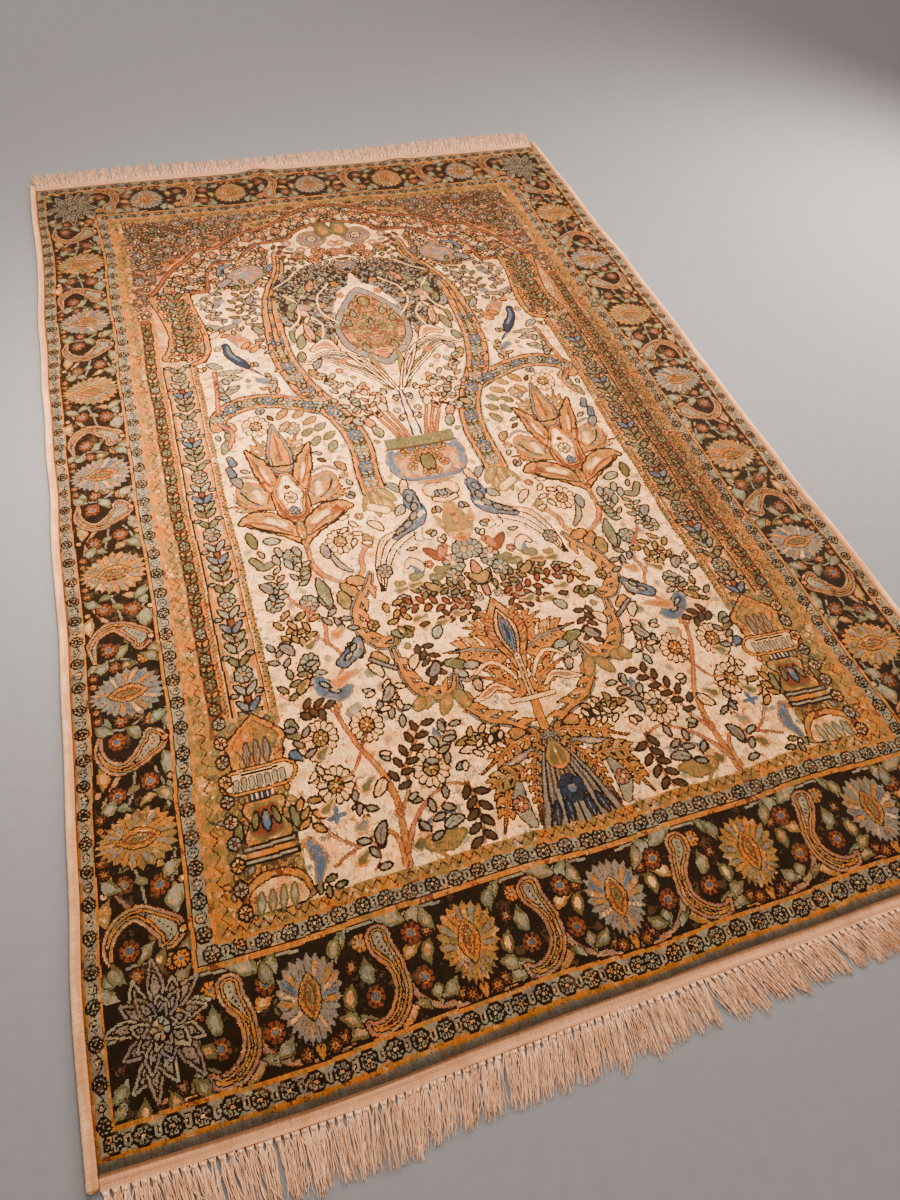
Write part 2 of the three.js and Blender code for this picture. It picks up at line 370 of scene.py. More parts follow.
def sprig(points, leaves, size, leaf_dye, stem_dye, stem_width=2.0):
    """A stalk with pairs of small leaves along it."""
    stem(points, stem_width, stem_dye)
    line, _ = trace(points, [1])
    marks = np.linspace(0.12, 0.97, leaves) * (len(line) - 2)
    for number, mark in enumerate(marks.astype(int)):
        heading = line[mark + 1] - line[mark]
        heading /= abs(heading) + 1e-9
        side = 1 if number % 2 else -1
        way = heading * complex(math.cos(SPRIG_LEAN), side * math.sin(SPRIG_LEAN))
        leaf(line[mark] + way * size * 0.2, line[mark] + way * size * 1.3, size * 0.5, leaf_dye)


# The main border: large serrated heads, curled paisleys, rust flowers and leaves on near-black.
SIDE_HEADS = (595, 402, 203, -2, -203, -405, -602)
SIDE_CENTRE = -496
END_HEADS = (-345, -172, 0)
RAYS = ("taupe", "peach", "mauve", "gold", "peach", "blue", "orange", "taupe", "mauve")
GOLD_RAYS = ("gold", "taupe", "orange", "gold", "mauve")
EYE = ("ink", "orange", "gold", "rust", "gold", "olive")
FIRST_GAP, LAST_GAP = 690, -692


def border_leaf(at, way, size, dye="sage"):
    """A broad leaf of the main border, notched, with a paler rib."""
    way = way / abs(way)
    size = size * 1.18
    base, tip = at - way * size / 2, at + way * size / 2
    layers = [(1.2, "ink"), (0, dye), (-3.4, "pale_sage" if dye == "sage" else "peach")]
    brush([base, at + way * 0.12j * size, tip], [1, size * 0.58, 1], *layers, teeth=0.3, pitch=6)


def border_flower(at, radius, dye="rust"):
    """A rust flower of the main border: round lobes, an orange ring and a grey-blue heart."""
    blossom(at, radius, 8, dye, "blue", stretch=1.1)
    brush(at, radius * 1.05, (0, "orange"), (-1.3, dye), (-2.0, "blue"))


def vine_band(points, width):
    """The border's striped vine: ink, rose, cream and rose again."""
    brush(points, width, (1.6, "ink"), (0, "rose"), (-1.4, "taupe"), (-2.6, "rose"))


def side_gap(middle, bend):
    """What fills a side border between two heads. bend is 1 where the paisley arches up, or -1."""
    def at(across, along):
        return complex(SIDE_CENTRE + across, middle + along * bend)

    vine_band([at(-36, 62), at(-30, 40), at(-18, 18), at(-8, 10)], 5)
    stem([at(-10, 64), at(-2, 40), at(2, 16)], 3.0, "taupe", "ink")
    stem([at(38, 66), at(34, 40), at(24, 14)], 3.0, "pale_sage", "ink")
    stem([at(42, -64), at(40, -40), at(34, -26)], 3.0, "pale_sage", "ink")
    stem([at(-40, -66), at(-30, -52), at(-8, -46), at(16, -58)], 3.0, "taupe", "ink")
    for across, along, way_x, way_y, size, dye in (
        (-37, 14, 0.1, 1, 27, "gold"), (37, 14, 0.2, 1, 34, "sage"), (-1, 38, 0.9, -0.4, 17, "sage"),
        (0, -38, 0.6, 0.8, 24, "sage"), (-34, -58, 0.7, 0.6, 24, "sage"), (4, -62, 0.9, 0.2, 20, "olive"),
        (36, 46, -0.2, 1, 20, "sage"), (-14, 58, 0.9, 0.3, 18, "sage"), (10, -20, -0.5, 1, 16, "olive"),
        (16, 54, 0.9, -0.4, 18, "gold"), (40, -44, 0.2, 1, 22, "sage"),
    ):
        border_leaf(at(across, along), complex(way_x, way_y * bend), size, dye)
    border_flower(at(-19, 40), 9.5)
    border_flower(at(18, 31), 10.5)
    border_flower(at(-17, -30), 10.5)
    border_flower(at(25, -52), 8, "orange")
    border_flower(at(-12, -58), 7.5)
    boteh(
        [at(-35, -46), at(-38, -20), at(-27, 0), at(-9, 7), at(7, -2), at(19, -13), at(26, -20),
         at(22, -30)], [5, 12, 15, 16, 21, 28, 30, 20],
    )
    for across, along in ((38, -22), (-40, 34), (41, 30)):
        outlined(at(across, along), 7, "peach")


def side_head(middle, number):
    """A large head of a side border, with leaves and buds at its shoulders."""
    at = complex(SIDE_CENTRE, middle)
    for across, along in ((-30, 46), (32, 46), (-32, -46), (34, -46)):
        border_leaf(at + complex(across, along), complex(across, -along * 0.6) / 58, 24)
    for side in (-1, 1):
        border_flower(at + complex(-39, 20 * side), 5.5)
        border_flower(at + complex(-38, 33 * side), 5.5)
    ring, rays = ("taupe", RAYS) if number % 2 else ("gold", GOLD_RAYS)
    palmette(at + 2, 37, 46, 25, ring, rays, EYE, 1)


for number, middle in enumerate(SIDE_HEADS):
    gap_above = (SIDE_HEADS[number - 1] + middle) / 2 if number else FIRST_GAP
    side_gap(gap_above, 1 if number % 2 else -1)
side_gap(LAST_GAP, 1)
for number, middle in enumerate(SIDE_HEADS):
    side_head(middle, number)


def end_gap(left, level, facing):
    """What fills an end border between two heads: a long curled paisley with flowers about it."""
    def at(across, along):
        return complex(left + across, level + along * facing)

    vine_band([at(14, -4), at(16, -26), at(34, -47), at(62, -53), at(86, -50)], 6)
    vine_band([at(-86, -50), at(-64, -53), at(-44, -50)], 5)
    stem([at(-44, 50), at(-10, 52), at(14, 46), at(40, 52), at(66, 50)], 3.2, "pale_sage", "ink")
    for across, along, way_x, way_y, size, dye in (
        (10, 46, 0.9, -0.4, 32, "sage"), (40, 42, 0.15, 1, 28, "sage"), (-22, 4, -0.2, 1, 26, "sage"),
        (-40, -47, 0.9, 0.2, 32, "sage"), (8, -50, 0.8, 0.6, 24, "gold"), (38, -36, 0.3, -1, 22, "sage"),
        (25, 8, 0.8, 0.5, 22, "gold"), (-44, 42, 0.5, 0.8, 24, "sage"), (44, 4, 0.2, 1, 24, "olive"),
        (-44, -14, 0.2, 1, 24, "olive"), (22, -44, 0.7, -0.5, 16, "sage"),
    ):
        border_leaf(at(across, along), complex(way_x, way_y * facing), size, dye)
    border_flower(at(29, 27), 10.5)
    border_flower(at(-22, -21), 10)
    border_flower(at(31, -19), 10)
    border_flower(at(-25, 34), 8.5, "orange")
    border_flower(at(64, -44), 6)
    border_flower(at(-62, -44), 6)
    border_flower(at(46, 24), 5.5)
    border_flower(at(-40, 14), 6)
    boteh(
        [at(-6, 34), at(-5, 24), at(3, 8), at(8, -10), at(5, -30), at(-9, -46), at(-28, -50), at(-36, -42)],
        [27, 26, 19, 17, 18, 18, 14, 6],
    )


def end_head(at, facing, tall, number):
    """A large head of an end border, pointing along the rug."""
    for side in (-1, 1):
        border_leaf(at + complex(36 * side, 34 * facing), complex(0.3 * side, 1), 24)
        border_leaf(at + complex(34 * side, -38 * facing), complex(0.7 * side, -0.5), 22)
        border_flower(at + complex(14 * side, -facing * (tall + 7)), 6)
    outlined([at - facing * (tall + 4) * 1j, at - facing * (tall + 12) * 1j], [9, 5], "orange")
    ring, rays = ("gold", GOLD_RAYS) if number % 2 else ("taupe", RAYS)
    palmette(at, 34, tall, 25, ring, rays, EYE, 1j * facing)


for level, facing, tall in ((-819, 1, 44), (824, -1, 42)):
    for left in (-415, -259, -86):
        end_gap(left, level, facing)
    for number, left in enumerate(END_HEADS):
        end_head(complex(left, level + 3 * facing), facing, tall, number)


def fan_petal(at, tip, width, bow, core):
    """One long petal of a corner's fan: a pale coat, an ink ring and a seeded core."""
    base = at + (tip - at) * 0.1
    middle = base * 0.42 + tip * 0.58 + (tip - at) * 1j * bow
    brush([base, middle, tip], [5, width, 5], (1.6, "ink"), (0, core), (-2.4, "ink"), (-4.6, "taupe"),
          teeth=0.2, pitch=8)
    line, _ = trace([base * 0.8 + tip * 0.2, middle, tip * 0.85 + base * 0.15], [1])
    for place in line[3::6]:
        brush(place, 2.2, (0, "ink"))


def corner_fan(at, facing):
    """The spread fan of long petals that turns a corner of the main border."""
    for across, along, size in (
        (-44, 46, 24), (-46, 8, 22), (-44, -44, 22), (-26, -66, 20), (30, -64, 22), (40, -34, 20),
        (38, 10, 24), (-34, 64, 24), (30, 44, 22), (10, 66, 20), (-46, -60, 18), (2, -68, 20),
    ):
        dye = "olive" if size == 20 else "sage"
        border_leaf(at + complex(across, along * facing), complex(across, along * facing) / 60, size, dye)
    for ring, count, width in ((1.05, 13, 19), (0.64, 9, 17), (0.34, 6, 11)):
        for i in range(count):
            turn = 2 * math.pi * (i + 0.3 * ring) / count
            long = ring * (1 + 0.16 * math.sin(i * 2.4))
            tip = at + complex(43 * math.cos(turn), 57 * math.sin(turn) * facing) * long
            fan_petal(at, tip, width, 0.08 * math.sin(i * 1.7 + 1),
                      ("pale_sage", "taupe", "pale_sage", "mauve")[i % 4])
    blossom(at, 9, 7, "pale_sage", "gold")


for corner_level, facing in ((-806, 1), (812, -1)):
    corner_fan(complex(-491, corner_level), facing)
    border_flower(complex(-463, corner_level + 62 * facing), 8, "orange")

# The stripes either side of the main border, from the outer edge inwards: half width, near end, far
# end and dye. They are laid after the border's motifs, so that none runs over them.
OUTER_STRIPES = (
    (562, -914, 904, "taupe"),
    (562, -907, 899, "orange"),
    (559, -901, 896, "pale_sage"),
    (545, -881, 881, "orange"),
)
INNER_STRIPES = (
    (453, -765, 770, "orange"),
    (449, -758.5, 765, "ink"),
    (447.5, -757, 763.5, "pale_sage"),
    (431, -740, 750, "orange"),
    (426.5, -737, 746, "gold"),
    (405, -722, 729, "peach"),
)
BORDER = (541.5, -877, 877.5)
ZIGZAG_WIDTH = 9
for half_width, near, far, dye in OUTER_STRIPES:
    block(-half_width, -BORDER[0], near, far, dye)
    block(-half_width, 0, near, BORDER[1], dye)
    block(-half_width, 0, BORDER[2], far, dye)
for half_width, near, far, dye in INNER_STRIPES:
    block(-half_width, 0, near, far, dye)


def guard_flower(at, radius):
    """One round flower of the guard stripes, black-lined on the sage ground."""
    blossom(at, radius, 8, "pale_sage", "peach", stretch=1.05)
    for i in range(8):
        way = complex(math.cos(i * math.pi / 4 + 0.4), math.sin(i * math.pi / 4 + 0.4))
        brush(at + way * radius * 0.66, 1.5, (0, "ink"))


def guard_curl(at, radius, way):
    """The open curl and two leaves between two flowers of a guard stripe."""
    angles = (2.6, 1.7, 0.7, -0.4, -1.4, -2.3)
    turn = [at + radius * way * complex(math.cos(angle), math.sin(angle)) for angle in angles]
    stem(turn, 1.5, "ink")
    stem([at - 0.35 * radius * way, at + 0.3 * radius * way], 2.6, "ink")
    brush(at + 0.2 * radius * way * 1j, 1.8, (0, "cream"))


def guard_stripe(start, end, width, pitch):
    """A stripe of flowers and curls on a waving black vine, from one place to another."""
    count = max(int(round(abs(end - start) / pitch / 2)) * 2, 2)
    step = (end - start) / count
    across = step / abs(step) * 1j
    vine = []
    for i in range(count * 4 + 1):
        swing = math.sin(i * math.pi / 4) * width * 0.36
        vine.append(start + step * i / 4 + across * swing)
    stem(vine, 1.4, "ink")
    for i in range(count):
        at = start + step * (i + 0.5)
        if i % 2:
            guard_curl(at, width * 0.36, across * (1 if i % 4 == 1 else -1))
        else:
            guard_flower(at, width * 0.43)


guard_stripe(-552-884j, -552+882j, 13.5, 17.5)
guard_stripe(-552-891.5j, 12-891.5j, 19, 13.5)
guard_stripe(-552+889j, 12+889j, 14, 14)
guard_stripe(-439.5-736j, -439.5+748j, 16, 18)
guard_stripe(-439-748.5j, 12-748.5j, 17, 13)
guard_stripe(-439+757.5j, 12+757.5j, 13, 13)


def zigzag(start, end, pitch):
    """A black zigzag from one place to another."""
    count = max(int(round(abs(end - start) / pitch)), 2)
    step = (end - start) / count
    across = step / abs(step) * 1j * ZIGZAG_WIDTH / 2
    for i in range(count):
        low = start + step * i - across
        high = start + step * (i + 0.5) + across
        brush([low, high], 1.5, (0, "ink"))
        brush([high, low + step], 1.5, (0, "ink"))


zigzag(-415-724j, -415+738j, 19)
zigzag(-421-729.5j, 6-729.5j, 12.5)
zigzag(-421+738j, 6+738j, 13)
for stop in range(-716, 736, 19):
    brush(-421.5 + stop * 1j, 5, (0, "orange"))
    brush(-409 + (stop + 9) * 1j, 4, (0, "peach"))
for stop in range(-415, 6, 25):
    brush(stop - 733.5j, 4, (0, "peach"))

# The field: an ivory ground under a stepped arch, with a column at each side and flowers in the
# spandrel above. The outlines run up the left side from the foot to the arch's point.
ARCH_OUTER = (
    -380-722j, -380+452j, -362+478j, -346+512j, -325+545j, -300+572j, -278+600j, -240+603j,
    -222+622j, -198+642j, -168+654j, -132+660j, -100+680j, -62+706j, -22+725j, 6+731j, 6-722j,
)
ARCH_INNER = (
    -322-722j, -322+232j, -308+240j, -299+262j, -301+310j, -308+352j, -312+400j, -312+450j,
    -276+453j, -270+480j, -265+515j, -254+538j, -232+549j, -200+552j, -190+572j, -172+592j,
    -148+604j, -98+606j, -84+622j, -58+642j, -22+655j, 6+659j, 6-722j,
)
block(-405, 0, -722, 729, "peach")
fill([-405+200j, -405+729j, 6+729j, 6+200j], "rose")
fill(ARCH_OUTER, "mauve")
block(-380, -322, -722, 452, "peach")
fill(ARCH_INNER, "ivory")
random = np.random.default_rng(7)


def tufts(corners, dyes, gap, size, edges=("ink",), slim=0.5, upright=False):
    """Small leaves and buds strewn inside an outline, about a gap apart, as the filling between motifs."""
    corners = np.asarray(corners, complex)
    for y in np.arange(corners.imag.min(), corners.imag.max(), gap):
        for x in np.arange(corners.real.min(), corners.real.max(), gap):
            at = complex(x + random.uniform(-0.5, 0.5) * gap, y + random.uniform(-0.5, 0.5) * gap)
            turn = random.normal(math.pi / 2, 0.35) if upright else random.uniform(0, 2 * math.pi)
            way = np.exp(1j * turn)
            dye = dyes[random.integers(len(dyes))]
            long = size * random.uniform(0.7, 1.3)
            if inside(corners, np.array([at.real]), np.array([at.imag]))[0]:
                leaf(at, at + way * long, long * slim, dye, edges[random.integers(len(edges))])


# The spandrel's sprays of flowers and dark leaves on a rose ground.
SPANDREL = (-405+384j, -405+729j, -20+729j, -80+700j, -140+668j, -215+640j, -250+606j,
            -290+606j, -345+540j, -378+470j, -383+384j)
tufts(SPANDREL, ("sage", "brown", "peach", "rust", "mauve", "cream", "taupe"), 8.5, 8.5,
      ("ink", "brown", "brown"))
for at in (-388+700j, -372+640j, -345+700j, -322+660j, -300+712j, -268+672j, -236+700j,
           -205+714j, -172+716j, -140+712j, -228+662j, -188+684j, -380+560j, -352+590j,
           -330+612j, -300+640j, -390+600j, -392+510j):
    blossom(at, 9.5, 7, "mauve", "peach")
for points in ((-400+720j, -360+670j, -330+690j), (-400+640j, -365+612j, -360+560j),
               (-290+700j, -250+690j, -210+650j), (-200+700j, -130+690j, -80+716j)):
    sprig(points, 9, 11, "sage", "orange", 2.2)
for at in (-352+715j, -330+705j, -340+680j, -376+660j, -312+690j):
    leaf(at, at + 12 - 16j, 9, "brown")
stem([-150+668j, -166+684j, -130+690j, -100+694j], 9, "gold")

# The arch's band: grey-green and pink flowers between two edges of orange.
BAND = ARCH_OUTER[1:-1] + ARCH_INNER[-2:6:-1]
tufts(BAND, ("sage", "cream", "rose", "mauve", "pale_sage", "peach", "orange"), 7.5, 8,
      ("ink", "ink", "cream"))
for at in (-342+470j, -322+500j, -300+528j, -282+560j, -250+578j, -222+586j, -206+610j, -176+628j,
           -146+634j, -112+642j, -86+664j, -56+680j, -24+694j, 0+702j):
    blossom(at, 10, 6, "rose", "cream")
for points in (ARCH_OUTER[1:-1], ARCH_INNER[2:-1]):
    brush(points, 8.4, (1.8, "ink"), (0, "rust"), (-3, "orange"), teeth=0.34, pitch=5)

# The column: a shaft of leaf chains between toothed edges, under a waisted capital.
block(-405, -386, -722, 384, "gold")
block(-405, -386, -500, 380, "rust")
block(-388, -381, -480, 384, "orange")
for foot in range(-476, 230, 7):
    brush([-385 + foot * 1j, -380 + (foot + 3.5) * 1j], 1.6, (0, "ink"))
    brush([-380 + (foot + 3.5) * 1j, -385 + (foot + 7) * 1j], 1.6, (0, "brown"))
block(-376, -333, -500, 240, "orange")
block(-372, -337, -500, 240, "peach")
block(-378, -376, -500, 240, "ink")
block(-333, -331, -500, 240, "ink")
block(-329, -321, -500, 236, "gold")
for foot in range(-476, 230, 8):
    brush([-329 + foot * 1j, -322 + (foot + 4) * 1j, -329 + (foot + 8) * 1j], 1.6, (0, "ink"))
for number, foot in enumerate(range(-478, 232, 62)):
    at = complex(-354, foot)
    stem([at - 31j, at + 31j], 1.8, "brown")
    if number % 2:
        for side in (-1, 1):
            leaf(at + 14j, at + 14 * side + 31j, 8, "sage")
            leaf(at - 32j, at + 14 * side - 14j, 8, "pale_sage")
        blossom(at, 11, 8, "pale_sage", "rose")
    else:
        for level in (-26, -10, 6):
            for side in (-1, 1):
                leaf(at + level * 1j, at + 14 * side + (level + 16) * 1j, 8,
                     "blue" if level > 0 else "sage")
        leaf(at + 18j, at + 34j, 7, "rust")
    for side in (-1, 1):
        outlined([at + 17 * side + 31j, at + 13 * side + 31j], [5, 3], "taupe")
for foot in range(-460, 380, 40):
    at = complex(-396, foot)
    stem([at - 20j, at + 20j], 1.6, "ink")
    blossom(at, 6.5, 6, "sage", "peach")
    for side in (-1, 1):
        leaf(at + 12j, at + 7 * side + 20j, 5, "olive")
        leaf(at + 20j, at + 7 * side + 28j, 5, "gold")
for points in ((-379+452j, -368+405j, -357+335j, -360+288j, -371+262j, -352+256j),
               (-312+452j, -310+400j, -303+350j, -298+300j, -300+262j, -312+242j, -326+236j)):
    stem(points, 8, "orange", "ink")
CAPITAL = (-375+452j, -363+400j, -353+335j, -356+288j, -360+258j, -330+244j, -310+252j,
           -304+300j, -309+350j, -316+400j, -316+452j)
fill(CAPITAL, "rose")
tufts(CAPITAL, ("sage", "peach", "pale_sage", "cream", "orange"), 8, 8, ("brown", "ink"))
stem([-338+256j, -334+340j, -342+448j], 2.2, "rust")
for level in range(270, 450, 24):
    leaf(-336 + level * 1j, -350 + (level + 18) * 1j, 8, "sage")
    leaf(-336 + level * 1j, -322 + (level + 18) * 1j, 8, "olive")

# The column's foot: a diamond-shaped cup, a fluted drum, a waisted vase and a domed plinth.
block(-400, -324, -722, -478, "gold")
tufts((-405-722j, -405-478j, -322-478j, -322-722j), ("orange", "peach", "gold", "taupe", "sage"), 10, 8,
      ("brown", "olive"))
shape([-354-476j, -366-488j, -390-512j, -386-530j, -382-548j, -354-550j, -326-548j, -322-530j,
       -318-512j, -342-488j], "orange", "ink", 2.4)
shape([-354-486j, -370-500j, -382-515j, -374-530j, -374-546j, -354-547j, -334-546j, -334-530j,
       -326-515j, -338-500j], "gold", "brown", 1.6)
for spot in (-366, -354, -342):
    leaf(complex(spot, -546), complex(spot, -514), 6, "taupe", "brown", "rust")
for spot in (-372, -360, -348, -336):
    brush([complex(spot, -506), complex(spot, -512)], 3, (0, "gold"))
for width, dye in ((32, "orange"), (23, "cream")):
    brush([-384-564j, -326-564j], width, (1.6, "ink"), (0, dye))
for flute in range(-382, -322, 9):
    outlined([complex(flute, -573), complex(flute, -562)], [5, 6], "pale_sage", "ink", 1.2)
block(-376, -332, -556, -553, "ink")
block(-370, -340, -591, -582, "night")
for flute in range(-367, -341, 6):
    block(flute, flute + 2, -590, -582, "cream")
shape([-376-592j, -380-604j, -374-616j, -382-636j, -374-646j, -336-646j, -328-636j, -336-616j,
       -330-604j, -334-592j], "gold", "ink", 2.4)
shape([-368-600j, -370-614j, -374-630j, -364-638j, -346-638j, -336-630j, -340-614j, -342-600j], "rust",
      "olive")
leaf(-355-632j, -355-606j, 9, "blue")
for side in (-1, 1):
    leaf(complex(-355 + 14 * side, -626), complex(-355 + 10 * side, -606), 6, "sage")
    leaf(complex(-355 + 34 * side, -640), complex(-355 + 31 * side, -612), 9, "sage")
for level in (-652, -667):
    block(-388, -324, level, level + 8, "ink")
    block(-385, -327, level + 2.5, level + 6, "pale_sage")
block(-382, -330, -659, -652, "orange")
shape([-392-720j, -396-704j, -388-688j, -372-678j, -344-678j, -328-688j, -320-704j, -324-720j], "orange",
      "ink", 2.2)
shape([-386-720j, -389-704j, -380-692j, -366-686j, -350-686j, -336-692j, -327-704j, -330-720j], "peach",
      "ink", 1.8)
for flute in (-378, -366, -354, -342):
    leaf(complex(flute, -720), complex(flute + 3, -698), 6, "pale_sage", "olive")
for number, level in enumerate(range(-715, -480, 26)):
    blossom(complex(-394, level), 6.5, 6, "pale_sage" if number % 2 else "peach", "rust")

# Two tall bands of blue-grey flowers on orange, curving up from each side of the vase, and the
# small arch that springs from each.
TALL_BAND = (-102-138j, -100-90j, -97-40j, -103+6j, -116+48j, -136+88j, -154+126j, -166+170j,
             -174+215j, -177+265j, -177+320j, -175+365j, -168+405j, -152+450j, -134+490j,
             -127+525j, -124+556j)
SMALL_ARCH = (-312+62j, -306+84j, -286+101j, -258+111j, -228+112j, -196+104j, -164+88j, -138+72j)
ribbon_layers = [(4.2, "pale_sage"), (2.3, "ink"), (0, "orange")]
brush(SMALL_ARCH, [20, 30, 32, 30, 26], *ribbon_layers)
brush(TALL_BAND, [34, 36, 34, 38, 34, 26, 20, 18], *ribbon_layers)
brush(TALL_BAND[:9], [22, 24, 22, 26, 20, 12], (1.2, "rust"), (0, "gold"), (-3, "orange"))
brush(SMALL_ARCH, [13, 21, 23, 21, 16], (0, "gold"), (-1.6, "orange"))


def band_flowers(points, pitch, size, keep=1.0):
    """Blue-grey flowers and leaves down the middle of a band."""
    line, _ = trace(points, [1])
    steps = np.concatenate([[0], np.cumsum(np.abs(np.diff(line)))])
    for number in range(int(steps[-1] * keep / pitch)):
        at = line[np.searchsorted(steps, (number + 0.5) * pitch)]
        ahead = line[min(np.searchsorted(steps, (number + 0.8) * pitch), len(line) - 1)]
        way = (ahead - at) / (abs(ahead - at) + 1e-9)
        for side in (-1, 1):
            for step in (0.28, 0.5):
                spot = at + way * pitch * step
                tip = spot + way * size * 0.7 + way * 1j * side * size * 0.75
                leaf(spot, tip, size * 0.5, "sage" if step < 0.4 else "pale_sage")
        rosette(at, size, "blue" if number % 2 else "pale_sage", "gold", "ink", 6, number)


band_flowers(TALL_BAND, 37, 11.5, 0.62)
band_flowers(SMALL_ARCH, 33, 10)
UPPER = TALL_BAND[8:]
brush(UPPER, [9, 6, 5, 4], (2.4, "ink"), (0, "gold"))
for k in range(1, 9):
    leaf(UPPER[k] - 3j, UPPER[k] + 5j, 5, "blue", "ink")

# The shoulders between the arch and the tall bands: grey-blue wings and ivory ground.
SHOULDER = (-262+458j, -266+500j, -252+540j, -200+550j, -186+572j, -152+596j, -140+560j, -146+500j,
            -166+452j, -196+440j, -228+450j)
fill(SHOULDER, "peach")
tufts(SHOULDER, ("mauve", "sage", "cream", "rose", "pale_sage", "ivory"), 9, 11)
brush([-204+490j, -186+504j], [56, 50], (1.4, "ink"), (0, "mauve"), (-8, "rose"), (-15, "mauve"))
outlined([-246+505j, -238+530j, -214+538j], [7, 9, 4], "blue")
outlined([-246+468j, -232+480j], 14, "mauve")
outlined([-150+505j, -142+520j], 8, "blue")
for at in (-150+575j, -168+566j, -112+572j, -96+588j):
    leaf(at, at + 12j - 4, 9, "rose")
for at in (-282+430j, -262+412j, -272+375j, -240+345j, -226+420j):
    outlined([at, at + 8 + 5j], [13, 6], "mauve", "taupe")
sprig([-218+330j, -236+380j, -216+440j, -200+470j], 12, 14, "olive", "rose", 4)
sprig([-262+330j, -276+390j, -262+440j], 8, 12, "mauve", "rose", 3)
sprig([-206+306j, -214+360j, -206+400j], 8, 12, "pale_sage", "gold", 4)
outlined([-290+338j, -268+326j, -244+334j], [10, 12, 8], "mauve")
leaf(-214+316j, -196+330j, 16, "sage")
outlined([-268+276j, -264+250j, -250+226j, -240+208j], [9, 13, 17, 8], "night")
brush([-266+272j, -262+250j, -250+230j], [4, 7, 6], (0, "blue"))
for shift in (0, 8, 16):
    stem([-246+216j - shift * 0.5j, -222 + (188 - shift) * 1j + shift * 0.6,
          -206 + (150 - shift * 0.8) * 1j], 2.2, "night")
outlined([-252+300j, -236+278j, -222+258j], [18, 26, 12], "rose", "mauve")
for at in (-226+250j, -214+272j, -240+262j):
    leaf(at, at + 14 + 16j, 10, "orange")
for at, tip in ((-296+196j, -250+200j), (-296+168j, -262+186j), (-288+140j, -262+158j),
                (-304+230j, -282+212j), (-214+132j, -200+170j), (-284+120j, -300+150j)):
    leaf(at, tip, 13, "pale_sage", vein="ink")
brush([-226+168j, -214+160j], 16, (0, "mauve"), (-4, "blue"))
stem([-306+96j, -300+150j, -296+205j], 4, "rose", "rust")

# The bouquet in the vase: a medallion in a mauve frame, fanned leaves, dark flowers and stalks.
shape([6+412j, -14+398j, -44+352j, -64+312j, -70+280j, -66+238j, -52+208j, -30+186j, 6+176j], "mauve")
shape([6+392j, -12+376j, -36+338j, -52+304j, -58+280j, -54+246j, -40+218j, -22+200j, 6+192j], "rose")
tufts((-56+280j, -30+345j, 0+385j, 6+196j, -36+216j), ("orange", "peach", "rust", "sage", "orange", "gold"),
      8, 9, ("rust", "brown", "olive"), 0.45)
for at in (-2+352j, -28+318j, 2+290j, -42+292j, -26+216j):
    outlined([at, at + 12j], [12, 3], "sage")
    brush([at + 1j, at + 6j], [5, 2], (0, "olive"))
leaf(-2+340j, -2+376j, 17, "olive", "ink", "peach")
CROWN = (-44+398j, -14+420j, 0+470j, -60+492j, -116+486j, -150+446j, -158+380j, -154+320j,
         -140+280j, -110+250j, -78+228j, -72+286j, -64+330j)
fill(CROWN, "taupe")
tufts(CROWN, ("taupe", "mauve", "ink", "taupe", "night", "sage", "mauve"), 6, 12,
      ("ink", "ink", "ink", "taupe"), 0.36, True)
for base, tip, wide in ((-110+402j, -96+448j, 20), (-138+380j, -124+412j, 18), (-142+330j, -140+368j, 13),
                        (-148+262j, -140+312j, 17), (-126+330j, -112+372j, 17), (-104+238j, -112+280j, 13)):
    leaf(base, tip, wide, "sage", "ink", "olive")
for base, tip, wide in ((-108+330j, -132+366j, 17), (-118+256j, -138+326j, 12), (-92+412j, -80+448j, 15)):
    leaf(base, tip, wide, "rose", "ink", "peach")
for at in (-60+446j, -96+366j, -92+286j, -108+400j, -104+322j):
    rosette(at, 9, "mauve" if at.real > -90 else "sage", "cream", "ink", 6, at.real)
for number, at in enumerate((-38+426j, -38+388j, -78+362j, -78+324j, -80+250j, -96+276j, -74+176j)):
    rosette(at, 8, "orange", "gold", "ink", 5, number)
rosette(35+430j, 20, "olive", "gold", "brown", 8)
for points in (
    (-118+430j, -92+460j, -62+474j, -24+478j), (-96+486j, -60+492j, -20+500j),
    (-112+516j, -70+520j, -24+516j), (-128+404j, -118+430j, -96+452j),
):
    sprig(points, 10, 10, "taupe", "peach", 2.4)
for points in ((-150+440j, -120+462j, -84+500j, -40+512j), (-60+300j, -84+340j, -80+392j, -50+430j),
               (-150+300j, -128+330j, -124+380j, -140+410j), (-100+250j, -90+300j, -116+344j)):
    stem(points, 3.4, "cream")
for at in (-52+520j, -12+540j, -42+548j, -84+542j, -12+482j):
    blossom(at, 13, 7, "rose", "gold")
blossom(-10+488j, 13, 8, "mauve", "gold")
brush(-46+596j, 60, (1.5, "ink"), (0, "taupe"), (-4, "ink"), (-5.4, "rose"), (-10, "ink"), (-11.2, "mauve"),
      (-17, "ink"), (-18.2, "peach"))
blossom(-46+596j, 9, 7, "cream", "rose")
outlined([-18+640j, -16+618j], [26, 34], "olive", "brown")
brush([-18+636j, -16+620j], [14, 20], (0, "gold"))
for at in (-100+590j, -74+560j, -8+572j, -118+560j):
    rosette(at, 10, "rose", "cream", "mauve")
brush([-8-44j, -6+20j, -4+66j, -2+100j], 3.4, (0, "night"))
for shift in (0, 8, 16):
    outlined([complex(-14 - shift, -34), complex(-22 - shift * 1.3, 0), complex(-36 - shift * 1.6, 44)],
             [3.4, 2], "rose", "rust")
for top, foot, wide in ((-26+196j, -10+100j, 12), (-40+190j, -16+96j, 11)):
    outlined([foot, (foot + top) / 2 - 3, top], [5, wide, 3], "gold", "olive")
    stem([foot, top - 14j], 1.6, "orange")
